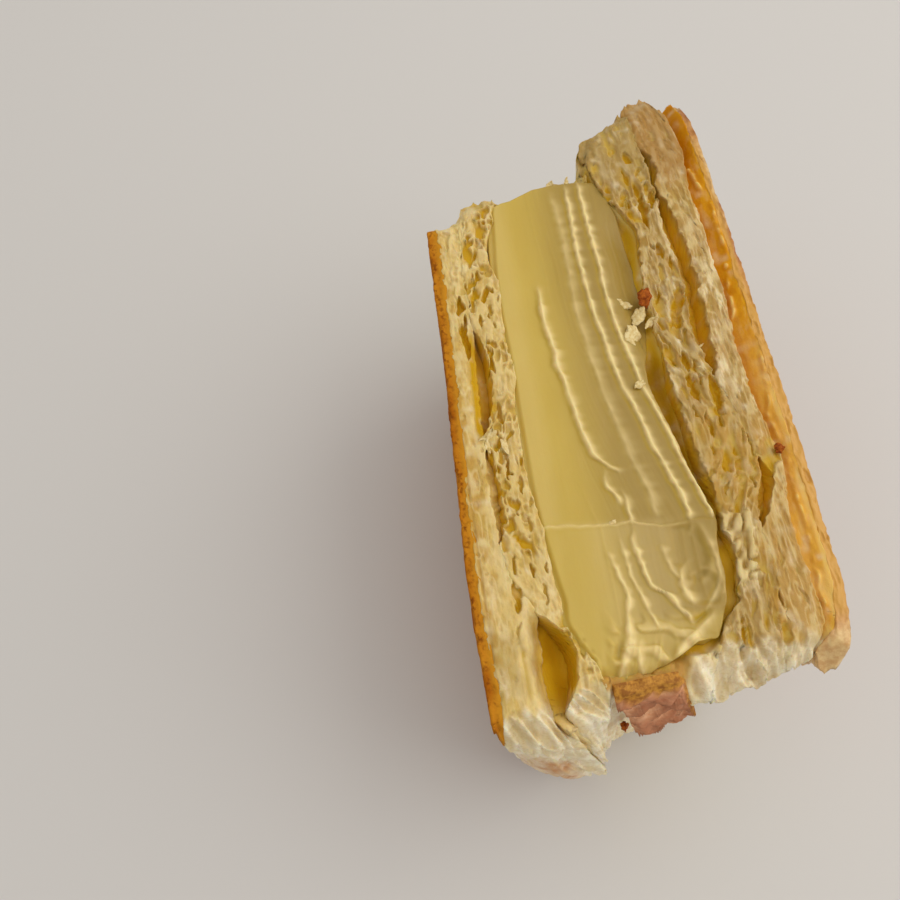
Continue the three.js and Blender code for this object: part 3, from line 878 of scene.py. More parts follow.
# ---- bottom crust -----------------------------------------------------------------------------
def base_out(y, z):
    """x of the bottom crust's face: flat where it lay on the tray, with shallow bubbles pressed
    into it and fine grain."""
    gap, own = cells(y / 4.5 + 0.4 * drift(y, z, 4, 4, 221), z / 3.8, 222)
    bubbles = 0.35 * smooth(0.55, 0.95, own) * smooth(0.05, 0.5, gap)
    relief = 0.3 * drift(y, z, 12, 10, 223) - bubbles + 0.08 * rough(y / 1.2, z, seed=224)
    return border(BASE_OUT, 0, 1, 0.12)(y, z) - relief


def base_cut(x, y):
    """The bottom crust's cut edge: fine crumb."""
    return 0.4 * sandy(x, y, 31) + 0.1


def base_marks(x, y, z, s, marks):
    """The crust grows crumbly towards the dough."""
    return {"crumbly": smooth(0.2, 0.9, s) + 0 * x}


layer("bottom_crust", base_out, border(BASE_OUT, 1.9, 2, 0.15, ragged=0.22), base, base_cut, 12,
      step=0.3, relief=1.0, round_end=0.8, open_left=False, open_right=False,
      left_steps=np.linspace(0.8, MID, 34), extra=base_marks)


# ---- lower honeycomb, beside the cream --------------------------------------------------------
def lower_cut(x, y):
    """Honeycomb dough: soft ribbons round large pores, calmer where the sheets lie close
    together."""
    calm = bump(y, 54, 4.5) * smooth(6.5, 7.5, x)
    ribs = web(-to_slit(x, y), y, 45, 1.15, 3.3, 2.3, 0.84) * (1 - 0.75 * calm)
    return np.maximum(ribs, hollows(x, y, LOWER_PORES, 43)) + 0.3 * drift(x, y, 2.5, 5, 48)


def wall_marks(x, y, z, s, marks):
    """The V-shaped cavity's wall towards the cream is a deeper amber than the other slits, painted
    shade.
    """
    valley = between(y, 1, 5, 13, 17.5) * (s <= 0) * smooth(0.4, 2.4, CUT - z)
    return {"hollow_shade": np.maximum(marks["hollow_shade"], valley),
            "slit": marks["slit"] * (1 - 0.85 * valley)}


layer("lower_honeycomb", border(DENSE_RIGHT, 0.1, 3, ragged=0.22, gaps=SLITS["dense"]),
      border(CREAM_LEFT, -0.1, 5, gaps=SLITS["cream"]), dough, lower_cut, 52, step=0.18,
      right_ramp=5.0, extra=wall_marks)


# ---- floor of the V-shaped cavity -------------------------------------------------------------
def floor_cut(x, y):
    """The floor slopes down away from the bottom crust, and rises towards the near end."""
    slope = 2.2 * smooth(0, 4.0, -to_slit(x, y))
    return 5.8 + slope - 1.8 * smooth(6, 0, y) + 0.4 * drift(x, y, 2, 3, 95)


def floor_near(x, z):
    """y of the floor's near side, which draws back from the near end below."""
    return near_end(x, z) + 0.9 + 8 * smooth(12, 0, z)


def floor_far(x, z):
    """y of the floor's far side, which is flat."""
    return 16.5 + 0 * x


def floor_marks(x, y, z, s, marks):
    """Amber painted shade down in the cavity, which fades out to skin at the near end."""
    return {"hollow_shade": smooth(2.5, 7, y) * smooth(-1.0, 1.6, -to_slit(x, y)),
            "skin": 0.35 * smooth(4, 0, y),
            "slit": 0.9 * smooth(-4, 7, y)}


layer("cavity_floor", border(DENSE_RIGHT, -0.6, 3),
      border(DENSE_RIGHT, 0.6, 3, gaps=[(2.5, 15.6, 3.6, 60), (-5, 16.6, 1.4, 60)]), dough,
      floor_cut, 16, step=0.4, relief=1.0, ends=(floor_near, floor_far), extra=floor_marks)


# ---- dough core: what holds the cream ---------------------------------------------------------
def core_cut(x, y):
    """A wall at each end, lower at the far end, and a trough 37 mm deep between them, with a ledge
    along the side towards the top crust that rises to it in a fillet."""
    wall_y = np.interp(x, [15, 24, 27, 31, 33.5, 35], [5.9, 6.1, 7.0, 7.2, 8.6, 10.5])
    off = y - wall_y + 0.3 * drift(x, y, 1.5, 1, 93)
    trough = smooth(-0.3, 1.0, off) * smooth(1.2, 2.4, straight(FAR_EDGE, x) - y)
    ledge = smooth(-2.5, -0.6, x - curve(CREAM_RIGHT, y))
    fillet = 1.8 * smooth(-1.3, 0.2, x - curve(AIRY_LEFT, y)) * smooth(26, 30, y)
    shallow = 3.2 - 1.2 * smooth(26, 20, y) + 0.8 * drift(x, y, 2, 6, 94)
    shallow = shallow + 3.0 * between(y, 28, 32, 52, 58) - fillet
    shallow = lerp(shallow, 2.2, smooth(15, 13, y))
    deep = lerp(37, shallow, np.maximum(ledge, smooth(4, 2.5, off)))
    behind_flap = between(x, 16.3, 17.3, 27.5, 28.5) * smooth(9, 8, y)
    wall = (sandy(x, y, 91) + 0.4 * drift(x, y, 1.6, 1.6, 92) + 1.2 * smooth(88, 92, y)
            + 1.2 * behind_flap)
    return deep * trough + wall * (1 - trough)


def core_marks(x, y, z, s, marks):
    """The core is amber in the crescent that the cream leaves free at its near end, painted shade
    of that narrow gap, and warmer behind the end's flap."""
    down = CUT - z
    inner = np.interp(x, [26, 27, 30, 33, 34], [7.2, 7.4, 7.9, 9.4, 10.4])
    # painted shade in the narrow crescent gap between the cream and the wall
    crescent = between(x, 26.3, 27.3, 33.5, 34.5) * between(y - inner, -0.3, 0.5, 2.4, 3.2)
    crescent = crescent * smooth(6, 3, down)
    behind_flap = between(x, 14, 15.5, 27, 28.5) * between(y, 3.5, 4.6, 7, 9)
    behind_flap = behind_flap * smooth(9, 6, down) * (s > 0) * (s < 1)
    either = np.maximum(crescent, behind_flap)
    return {"hollow_shade": np.maximum(marks["hollow_shade"], crescent), "warm": behind_flap,
            "brown": 0.4 * behind_flap * smooth(-0.8, 0.0, drift(x, y, 0.9, 0.9, 119)),
            "skin": marks["skin"] * (1 - either),
            "pale": marks["pale"] * (1 - either)}


layer("dough_core", border(CREAM_LEFT, -0.6, 6), border(AIRY_LEFT, 0.3, 7), dough, core_cut, 70,
      step=0.35, relief=1.0, extra=core_marks)


# ---- upper honeycomb, on the cream's other side -----------------------------------------------
# How far its torn sheets have leaned over in x, as (y, shift) points.
TORN_LEAN = [(-5, -1), (20, 0), (27, 1.2), (38, 5.0), (45, 5.4), (60, 1.0), (75, 0), (110, -1)]


def upper_cut(x, y):
    """A web of thin sheets with large openings, torn and leaning in the near half, smooth round a
    few pores in the far half, and soft folds at the far end. The ruffle is lumps of its own."""
    u = x - curve(TORN_LEAN, y)
    near = web(u, y, 51, 1.2, 5.6, 2.2, 0.8) * smooth(78, 62, y)
    far = web(u, y, 57, 1.7, 4.4, 2.2, 0.9) * smooth(62, 78, y) * (1 - 0.8 * bump(y, 78, 4)) * (
        1 - 0.55 * smooth(90, 96, y))
    soft = smooth(84, 92, y) * (0.5 * drift(x, y, 1.7, 3.2, 54)
                                + 0.9 * np.abs(drift(x, y, 1.3, 5.5, 56)))
    openings = hollows(x, y, UPPER_PORES, 53)
    strands = np.maximum(0, 1 - np.abs(drift(u, y, 0.6, 3.4, 98)) / 0.3)
    strands = 0.5 * strands * smooth(-0.4, 0.3, drift(x, y, 1.4, 4, 99))
    strands = strands * smooth(96, 88, y) * smooth(1.4, 0.4, openings)
    plain = np.maximum(near + far, openings) + soft - strands + 0.35 * drift(x, y, 2.6, 5, 55)
    lumps = 2.6 * (1 - np.abs(drift(x - 0.3 * y, y, 1.2, 1.6, 58))) ** 3 - 1.4
    return lerp(plain, lumps, ruffled(x, y))


def ruffled(x, y):
    """1 on the white, ruffled flap beside the cream's near end, 0 elsewhere."""
    wander = 0.9 * drift(x, y, 1.2, 1.6, 59) + 0.4 * drift(x, y, 0.5, 0.6, 60)
    right = np.interp(y, [15, 17, 20, 24, 27.5], [39.5, 41.0, 41.4, 42.2, 42.6])
    return between(y + wander, 15.8, 17.5, 26.8, 28.2) * smooth(0.4, -0.5, x - right + wander)


def upper_marks(x, y, z, s, marks):
    """The ruffle is white on its lumps, with painted shade down the grooves between them; the dough
    beside the firm strip is as warm as that near the near end; the torn part of the near half gets
    painted shade; and the side that shows past the cream's far end is pale, without the slits'
    amber painted shade."""
    cut_edge = smooth(1.5, 0.0, CUT - z)
    ruffle = ruffled(x, y)
    # white on the ruffle's lumps only: the grooves between keep the dough's colour as painted shade
    white = 0.6 * ruffle * smooth(0.05, 0.4, np.abs(drift(x - 0.3 * y, y, 1.2, 1.6, 58)))
    blend = smooth(-3.0, 0, x - curve(AIRY_RIGHT, y)) * smooth(29, 25, y) * (1 - ruffle)
    warm = np.maximum(blend, between(y, 25, 30, 40, 50))
    return {"pale": np.maximum(0.8 * marks["pale"], white * cut_edge),
            # painted shade on the torn part of the near half
            "painted_shade": np.maximum(marks["painted_shade"], 0.35 * between(y, 24, 29, 42, 48) * cut_edge),
            "warm": warm * smooth(-0.8, 0.3, drift(x, y, 1.2, 3.5, 39)),
            "slit": marks["slit"] * (1 - smooth(89, 94, y))}


layer("upper_honeycomb", border(AIRY_LEFT, 0, 7, ragged=0.3),
      border(AIRY_RIGHT, 0.3, 8, ragged=0.3, floors=SLITS["airy"]), webbed, upper_cut, 62,
      step=0.18, right_ramp=5.0, extra=upper_marks)


# ---- upper dough: the firm strip under the top crust ------------------------------------------
def torn_edge(x, y):
    """How far a point lies beyond the slanting edge where the firm strip's top sheet tore off."""
    return (y - 27 - 1.64 * (x - 44.2) + 1.6 * drift(x, y, 0.9, 1.6, 67)) / 1.92


def firm_cut(x, y):
    """Fibres along the layers, and fine crumb."""
    fibres = 0.5 * (1 - np.abs(drift(x + 0.12 * y, y, 0.7, 3.2, 61))) ** 2
    fibres = fibres + 0.3 * np.abs(drift(x, y, 0.3, 1.3, 62))
    lumps = 0.5 * drift(x, y, 1.5, 2.6, 66) + 0.5 * web(x, y, 64, 1.1, 3.0, 0.9)
    edge = 0.9 * smooth(0.9, 0.0, x - curve(AIRY_RIGHT, y)) * smooth(24, 30, y)
    torn = 1.9 * between(torn_edge(x, y), -0.1, 0.5, 0.5, 4.0) * between(x, 44, 45, 49, 50.5)
    grain = 0.35 - fibres + sandy(x, y, 63) + lumps + edge + torn
    return np.maximum(grain, hollows(x, y, FIRM_PORES, 65))


def firm_marks(x, y, z, s, marks):
    """Warm streaks in the near half and at the far end, pale along the edge where the top sheet
    tore off, a painted highlight along the edge at the slits, and a little less painted shade at
    the far end."""
    streaks = 0.5 + 0.5 * smooth(-0.35, 0.35, drift(x, y, 1.1, 4.2, 69))
    torn = 0.55 * bump(torn_edge(x, y), -0.4, 0.7) * smooth(44, 45, x) * (CUT - z < 0.3)
    # painted highlight along the edge at the slits
    lip = 0.5 * smooth(0.8, 0.2, x - curve(AIRY_RIGHT, y)) * smooth(26, 34, y)
    lip = lip * smooth(0.0, 0.6, drift(x, y, 0.5, 1.1, 68)) * smooth(1, 0, CUT - z)
    return {"painted_shade": 0.9 * marks["painted_shade"],
            "warm": np.maximum(0.5 * smooth(84, 96, y), smooth(46, 38, y)) * streaks,
            "pale": most(marks["pale"], torn, lip)}


layer("upper_dough", border(AIRY_RIGHT, 0, 8, ragged=0.3, gaps=SLITS["airy"]),
      border(FIRM_RIGHT, 0, 9, ragged=0.15), firm, firm_cut, 44, step=0.2, extra=firm_marks)


# ---- golden sheets under the top crust --------------------------------------------------------
# Edges of thin sheets that stand up there: height, and (y, x) points.
SHEETS = [
    (1.7, [(60.5, 48.4), (63, 49.3), (66.5, 49.6), (69, 49.9), (73, 50.2)]),
    (1.3, [(38, 50.4), (41, 50.0), (43, 49.8), (46, 50.4), (50, 50.9), (55, 51.3)]),
    (1.1, [(10, 49.0), (20, 49.9), (30, 50.1), (36, 50.5)]),
    (1.4, [(88, 50.0), (92, 49.4), (95, 49.0), (97, 48.6)]),
    (1.0, [(74, 50.9), (80, 50.6), (86, 50.9)]),
]


def sheet_height(x, y):
    """Height of the thin sheets' edges over the golden faces, which taper to nothing."""
    height = np.zeros(np.broadcast(x, y).shape)
    uneven = np.clip(0.6 + 0.6 * noise(y / 0.9, 0, seed=77), 0.1, 1.2)
    for tall, points in SHEETS:
        first, last = points[0][0], points[-1][0]
        off = x - curve(points, y) - 0.15 * noise(y / 1.5, 0, seed=76)
        body = np.exp(-((off / np.where(off > 0, 0.45, 0.22)) ** 2))
        fade = between(y, first - 0.5, first + 2, last - 2, last + 0.5)
        height = np.maximum(height, 0.6 * tall * body * fade * uneven)
    return height


def gold_cut(x, y):
    """Smooth golden faces, which slope up to the top crust, with the edges of a few thin sheets
    standing on them. They lie deepest at the far end."""
    left, right = curve(FIRM_RIGHT, y), curve(GOLD_RIGHT, y)
    share = np.clip((x - left) / np.maximum(right - left, 0.8), 0, 1)
    deepest = 2.4 + 2.8 * smooth(92, 99, y) - 1.6 * smooth(46, 34, y)
    slope = deepest * (1 - share) ** 1.3 + 0.3 + 0.25 * drift(x, y, 1.5, 4, 71)
    return slope - sheet_height(x, y) + 0.05 * rough(x / 0.6, y / 2, seed=74, octaves=2)


def gold_marks(x, y, z, s, marks):
    """The sheets' edges are pale, and so are long streaks in the near half."""
    streaks = smooth(66, 46, y) * (0.2 + 0.35 * smooth(-0.3, 0.5, drift(x, y, 0.8, 5, 78)))
    crests = np.clip(1.4 * sheet_height(x, y) - 0.3, 0, 0.8)
    return {"pale": np.maximum(crests, streaks) * (CUT - z < 0.3), "hollow_shade": 0 * x, "painted_shade": 0 * x}


layer("golden_sheets", border(FIRM_RIGHT, -0.2, 9, ragged=0.15), border(GOLD_RIGHT, 0.15, 10),
      gold, gold_cut, 34, step=0.25, relief=1.0, extra=gold_marks)


# ---- top crust --------------------------------------------------------------------------------
crust_in = border(GOLD_RIGHT, 0, 10)


def beyond_seam(y, z):
    """How far a point on the top crust lies beyond the slanting seam, where one folded corner of
    the dough lies over another."""
    return (y - 84 - 0.88 * (CUT - z) + 1.2 * drift(y, z, 9, 9, 201)) / 1.33


def creases(y, z):
    """1 along the crust's branching creases, 0 between them: where either of two broad noises is
    near zero."""
    u = y + 5 * drift(y, z, 9, 9, 203) + 1.2 * drift(y, z, 3, 3, 202)
    v = z + 5 * drift(y, z, 8, 10, 205) + 1.2 * drift(y, z, 2.5, 3, 213)
    first = bump(np.abs(drift(u, v, 17, 14, 204)), 0, 0.06)
    second = bump(np.abs(drift(u + v, v - u, 16, 22, 206)), 0, 0.04)
    broken = smooth(-0.5, 0.1, drift(y, z, 6, 6, 215))
    return np.maximum(first, 0.8 * second) * (0.15 + 0.85 * broken)


def blisters(y, z):
    """Domes from 0 to 1 over cells 5 mm to 8 mm wide, of which some have risen and most not."""
    gap, own = cells(y / 7 + 0.4 * drift(y, z, 4, 4, 207), z / 5.5 + 0.3 * drift(y, z, 3, 3, 208),
                     209)
    return smooth(0.35, 0.9, own) * smooth(0.0, 0.55, gap)


def crust_out(y, z):
    """x of the top crust's face: soft swells, domes, creases, fine wrinkles, and a step down
    beyond the seam that rises again over its next 14 mm. It keeps clear of the inner face."""
    step = 1.5 * between(beyond_seam(y, z), -0.2, 0.4, 5, 15)
    soft = 0.6 * drift(y, z, 10, 9, 210) + 0.35 * drift(y, z, 4, 3.5, 211)
    relief = (soft + 0.55 * blisters(y, z) - 0.6 * creases(y, z) - step
              + 0.1 * rough(y / 1.4, z / 1.1, seed=212)) * smooth(-1, 5, CUT - z)
    return np.maximum(border(CRUST_OUT, 0, 12, 0.2)(y, z) + relief, crust_in(y, z) + 0.7)


def crust_cut(x, y):
    """Brittle flakes and fine layers: cells 0.9 mm wide and 3 mm long, warped by noise, with walls
    between them, each as deep as its own random number squared."""
    u = x / 0.9 + 0.45 * drift(x, y, 4, 9, 82) + 0.2 * drift(x, y, 1, 3, 83)
    gap, own = cells(u, y / 3.0 + 0.4 * drift(x, y, 2, 5, 84), 82)
    flaky = 0.35 * own**2 * smooth(0.12, 0.42, gap)
    fine = rough(x / 0.5, y / 1.2, seed=84, octaves=2)
    return flaky + 0.2 * drift(x, y, 2, 4, 83) + 0.1 * fine + 0.1


def crust_marks(x, y, z, s, marks):
    """Where the top crust is crumbly (its cut edge), blistered, creased, and bare of egg wash:
    round its edges, and in a band beyond the seam."""
    down = CUT - z
    beyond = beyond_seam(y, z)
    uneven = drift(y, z, 5, 5, 214)
    band = smooth(0.1, 0.8, beyond) * smooth(12.5, 9.0, beyond + 1.5 * uneven)
    rim = smooth(0.3, 1.0, near_end(x, z) + 4.0 + uneven - y) + smooth(
        0.3, 1.0, y - far_end(x, z) + 3.5 + uneven)
    low = 0.7 * smooth(4.5, 1.5, z + uneven)
    near = 0.8 * smooth(11, 7, y) * smooth(8, 4, down)
    wide_edge = np.maximum(smooth(1.0, 0.75, s), 0.8 * smooth(1.8, 0.4, down))
    edge = lerp(smooth(0.9, 0.3, s), wide_edge, smooth(75, 60, y))
    return {"crumbly": edge * smooth(8, 12, y) * (1 - 0.85 * smooth(96, 102, y)),
            "blister": blisters(y, z), "crease": creases(y, z),
            "bare": np.clip(band + 0.8 * rim + low + near, 0, 1)}


layer("top_crust", crust_in, crust_out, glazed, crust_cut, 16, step=0.25, relief=1.0,
      right_steps=np.linspace(0.4, MID, 75), open_left=False, open_right=False, round_end=1.2,
      extra=crust_marks)


# ---- cream ------------------------------------------------------------------------------------
# Ridges that the knife drew up: height, half width, step up to its right, and (y, x) points.
RIDGES = [
    (0.95, 0.34, 0.15, [(36.3, 24.2), (37.0, 23.2), (38.0, 22.2), (39.3, 21.0), (41, 20.4),
                        (43.5, 19.8), (46, 19.4), (50, 19.0), (53, 18.6), (56, 18.0), (58, 18.2),
                        (60, 17.8), (64, 17.4), (72, 17.6)]),
    (0.55, 0.30, 0.0, [(31, 23.4), (32.5, 22.9), (33.8, 22.1), (35, 21.8), (37, 22.2)]),
    (0.55, 0.30, 0.0, [(27.6, 24.4), (30, 24.4), (32, 24.3), (33.5, 23.8)]),
    (0.25, 0.50, 0.0, [(28.5, 28.4), (31, 28.3), (33.5, 28), (35.5, 27.4), (38, 26.7), (40, 26.4),
                       (43, 25.8), (46, 25.2), (53, 24.3), (60, 23.6), (65, 23.2), (75, 23.4),
                       (85, 23.4), (92, 22.9)]),
    (0.75, 0.30, 0.2, [(27.4, 33.3), (30.5, 33.0), (33, 32.3), (35.5, 31.6), (38, 31.0), (40, 30.2),
                       (43.5, 29.6), (47, 28.8), (50, 28.0), (53, 27.3), (58, 26.8), (64, 26),
                       (70, 25.6), (80, 25.4), (85, 25.6), (93, 25.8)]),
    (0.95, 0.32, -0.2, [(27.4, 36.8), (31, 35.8), (34, 35.0), (36.5, 34.3), (40, 33.6),
                        (42.5, 33.0), (46, 32.1), (50, 31.0), (53, 30.5), (57, 30.0), (60, 29.3),
                        (65, 28.9), (70, 28.6), (75, 28.7), (80, 28.4), (88, 28.2), (94, 28.2)]),
    (0.55, 0.35, 0.1, [(8, 19.0), (10, 20.0), (12.5, 20.5), (15.3, 21.2), (17, 21.5),
                       (19.5, 20.9), (22, 20.3), (24.8, 19.8)]),
    (0.45, 0.32, 0.0, [(11.5, 24.9), (14, 24.2), (16.5, 23.5), (19.5, 22.6), (23, 22.3),
                       (27, 22.1)]),
    (1.0, 0.32, 0.2, [(12.0, 30.0), (13.3, 29.0), (15, 28), (16.5, 27), (17.5, 25.5),
                      (19.5, 24.7), (21.5, 24.3), (24.5, 23.9), (27.6, 24.5)]),
    (0.3, 0.45, 0.0, [(17.5, 30.2), (18.5, 29.5), (20, 28.7), (22, 28.2), (26, 27.9)]),
    (0.3, 0.3, 0.0, [(13.5, 32.2), (15.5, 34), (17.5, 35.2), (20, 35.5), (23, 35.2),
                     (25.5, 34.7), (27.2, 33.9)]),
    (0.4, 0.25, 0.0, [(25, 32.8), (27.2, 33.4)]),
    (0.7, 0.5, 0.0, [(5.6, 18.4), (7.5, 18.9), (9.5, 20.0), (12.5, 20.8), (15, 21.0)]),
    (0.6, 0.45, 0.0, [(5.4, 21.6), (7.0, 21.2), (9.0, 21.4), (11.5, 22.6)]),
    (0.8, 0.6, 0.0, [(7.6, 26.6), (9.0, 28.0), (10.6, 30.0), (12.2, 32.4), (13.6, 33.8)]),
    (0.5, 0.5, 0.0, [(14.5, 30.8), (16, 30.0), (18, 29.6), (20, 30.4), (21.5, 31.6)]),
]
LAST_LONG_RIDGE = RIDGES[5][3]
# Where the second stroke of the knife began, as (x, y).
STROKE = [(10, 28.7), (15, 28.4), (20, 27.9), (24.5, 27.9), (26.5, 27.2), (28.7, 26.8),
          (31, 26.9), (33.5, 27.2), (38, 26.8)]


def ridges(x, y):
    """The knife's ridges: (height, how much of a lip). Each lip falls off steeply on its left and
    less so on its right, where the surface steps up or down; it wavers, and tapers at its ends."""
    total, lips = 0.0, 0.0
    waver, width = 0.12 * noise(y / 1.1, 0, seed=101), 1 + 0.35 * noise(y / 0.8, 0, seed=109)
    uneven = 1 + 0.35 * noise(y / 1.1, 0, seed=102)
    for height, half, step, points in RIDGES:
        start, stop = points[0][0], points[-1][0]
        off = (x - curve(points, y) - waver) / width
        lip = np.exp(-((np.abs(off) / np.where(off > 0, 1.8 * half, 0.9 * half)) ** 1.5))
        fade = between(y, start - 0.6, start + 1.0, stop - 4, stop + 0.6) * uneven
        stair = step * smooth(-0.3, 0.5, off) * np.exp(-off / 3)
        total = total + (0.85 * height * lip + stair) * fade
        lips = np.maximum(lips, lip * fade * min(1, height / 0.7))
    return total, lips


def dents(x, y):
    """Distance from the middle of each of two uneven dents near the near end, 1 on its rim."""
    uneven = 0.22 * drift(x, y, 2.2, 2.6, 116) + 0.08 * drift(x, y, 0.9, 1, 117)
    return (np.hypot((x - 31.9) / 3.2, (y - 22.4) / 3.8) + uneven,
            np.hypot((x - 33.3) / 2.2, (y - 16.7) / 2.5) + uneven)


def past_stroke(x, y):
    """How far a point lies beyond the line where the second stroke of the knife began."""
    return y - straight(STROKE, x) - 0.15 * noise(x / 1.1, 0, seed=103)


def blobs(x, y):
    """Height from 0 to 1 of the blobs of cream that the knife left near the near end."""
    window = bump(y, 9.4, 3.4) * between(x, 16.5, 18.5, 31, 34)
    return smooth(0.0, 0.6, drift(x + 0.5 * y, y, 1.9, 1.5, 115)) * window


def cream_cut(x, y):
    """How far the cream lies below the cut face: flat, falling away towards the top crust in the
    far half, with a lip where the second knife stroke began, dents, a crack and crumpled ends."""
    off = past_stroke(x, y)
    stroke = 0.35 * smooth(0.25, -0.25, off) + 0.25 * np.exp(-np.abs(off) / 0.2)
    from_left = x - curve(CREAM_LEFT, y)
    beyond = x - curve(LAST_LONG_RIDGE, y)
    falls = 3.4 * smooth(0.3, 6.0, beyond) * smooth(50, 60, y) * (1 - 0.8 * smooth(78, 88, y))
    first, second = dents(x, y)
    pressed = 0.9 * smooth(1.2, 0.6, first) + 1.0 * smooth(1.2, 0.6, second)
    crack_y = 11.7 + 0.35 * (x - 28.5) + 0.35 * noise(x / 0.8, 0, seed=107)
    crack = 0.9 * bump(y, crack_y, 0.3) * between(x, 28.8, 30.0, 31.6, 33)
    dropped = 0.5 * smooth(0.2, -0.8, y - crack_y) * smooth(26, 28.5, x)
    crumpled = 1.2 * smooth(12, 8, y) * between(x, 16, 18.5, 24, 28)
    crumpled = crumpled * np.abs(drift(x - 0.35 * (y - 6), y, 1.1, 5.0, 104))
    frill = 0.35 * smooth(0.9, 0, from_left) * smooth(14, 11, y) * drift(x, y, 0.5, 0.6, 106)
    along = beyond + 0.3 * drift(x, y, 4, 9, 112)
    grooves = 0.055 * drift(along, y, 0.55, 25, 113) + 0.02 * drift(along, y, 0.22, 18, 114)
    waves = 0.08 * drift(x, y, 2.2, 12, 105) + 0.14 * drift(x, y, 6, 14, 108)
    edge = 0.7 * smooth(0.1, -0.7, from_left)
    ends = 1.6 * smooth(8.0, 5.8, y) ** 2 + 1.2 * smooth(90, 95, y) ** 2
    return (0.7 + falls + pressed + crack + dropped + edge + ends + waves + crumpled + frill
            + smooth(17, 20, x) * grooves - 1.3 * blobs(x, y) - stroke - ridges(x, y)[0])


def cream_near(x, z):
    """y of the cream's near side, which bows to follow the wall."""
    bow = np.interp(x, [14, 16, 18, 22, 25, 26.5, 28, 30, 32, 33, 34, 36], [
        8, 6.2, 5.6, 5.7, 6.6, 7.6, 8.9, 9.6, 10.2, 10.6, 11.4, 13.5])
    return bow + 0.25 * noise(x, z / 3, seed=111)


def cream_far(x, z):
    """y of the cream's far side."""
    return np.interp(x, [11, 12.4, 14, 15.5, 20, 24, 29, 31.4, 32.4], [
        86, 89.2, 90.0, 90.3, 92.5, 93.3, 93.4, 93.0, 88]) - 0.01 * (CUT - z)


def cream_shape(points, x, y):
    """Lifts the cream's underside to the floor of its pocket."""
    points[..., 2] = CREAM_FLOOR + points[..., 2] * (CUT - CREAM_FLOOR) / CUT
    return points


def cream_marks(x, y, z, s, marks):
    """The ridges' lips, the line where the second stroke began, the dents' rims and the blobs are
    pale as painted highlights, and so are two lit patches; the grooves to the lips' left, the
    sides, the crack and the crevice at the left edge are deep yellow as painted shade, and the
    surface is greyer towards the top crust and inside the dents as painted shade."""
    lips = ridges(x, y)[1]
    # painted shadow that each lip casts to its left
    lip_shadow = 0.8 * np.clip(ridges(x + 0.7, y)[1] - lips, 0, 1)
    top = smooth(0.6, 0.0, CUT - z)
    side = smooth(1.0, 9, CUT - z) * smooth(0.02, 0.0, 0.5 - np.abs(s - 0.5))
    stroke = smooth(36, 24, x) * 0.6 * np.exp(-np.abs(past_stroke(x, y)) / 0.25)
    lip = 1.2 * np.maximum(lips, stroke)
    crack = bump(y, 11.7 + 0.35 * (x - 28.5), 0.5) * between(x, 28.8, 30, 31.6, 33)
    first, second = dents(x, y)
    # painted highlights on the dents' rims
    rim_highlights = 0.25 * smooth(0.2, 0.8, drift(x, y, 1.6, 1.6, 118)) * np.maximum(
        bump(first, 1.15, 0.16), bump(second, 1.15, 0.2))
    # painted shade inside the dents
    dent_shade = 0.2 * np.maximum(smooth(1.1, 0.6, first), smooth(1.1, 0.6, second))
    left_light = 0.16 * smooth(15.5, 12.5, x) * smooth(27, 30, y)
    near_light = (0.05 + 0.15 * smooth(15, 20, x)) * smooth(29, 27, y) * smooth(33, 27, x)
    light = 0.45 * smooth(0.2, 0.8, blobs(x, y)) + np.maximum(left_light, near_light)
    # painted shade in the crevice at the cream's left edge
    crevice_shade = 0.5 * smooth(0.1, -0.4, x - curve(CREAM_LEFT, y))
    return {"pale": np.clip(most(lip, rim_highlights, light), 0, 1) * top,
            "hollow_shade": most(side, top * lip_shadow, top * crack, top * crevice_shade),
            "cream_shade": smooth(15, 27, x) * (1 - 0.5 * smooth(14, 12, y)) + dent_shade}


layer("cream_filling_top", border(CREAM_LEFT, -1.2, 5, ragged=0.03),
      border(CREAM_RIGHT, 0.1, 13, 0.2, ragged=0.05), cream, cream_cut, 150, step=0.26,
      relief=1.0, ends=(cream_near, cream_far), shape=cream_shape, extra=cream_marks,
      node="cream_filling", slot="cream")


# ---- the flap at the near end -----------------------------------------------------------------
FLAP_WIDTH, FLAP_HEIGHT, FLAP_LENGTH = 10.8, 14.5, 1.7
FLAP_X, FLAP_Y, FLAP_Z = 21.6, 3.6, 52.4  # x and y of its front at the top, and its mid height


def brick(width, height, length, rows_end=44, rows_side=30, around=180, power=7.0):
    """Local (u, v, w) points of a block with rounded edges: u across, w up and v along its length.
    Rings grow from the middle of the front face to its outline, a superellipse of that power, run
    along the block, and shrink on the back face; the front's edge is rounded too."""
    turn = 2 * math.pi * np.arange(around) / around
    c, s = np.cos(turn), np.sin(turn)
    reach = (np.abs(c) ** power + np.abs(s) ** power) ** (-1 / power)
    grow = np.sin(np.linspace(0, math.pi / 2, rows_end))
    share = np.concatenate([grow, np.ones(rows_side), grow[::-1]])[:, None]
    rounding = 0.35 * (1 - (1 - grow**6) ** (1 / 6.0))
    front = np.concatenate([rounding, np.linspace(0.35, 0.95, rows_side), 1 - 0.05 * grow[::-1]])
    v = front[:, None] * length + 0 * turn
    return share * reach * c * width / 2, v, share * reach * s * height / 2


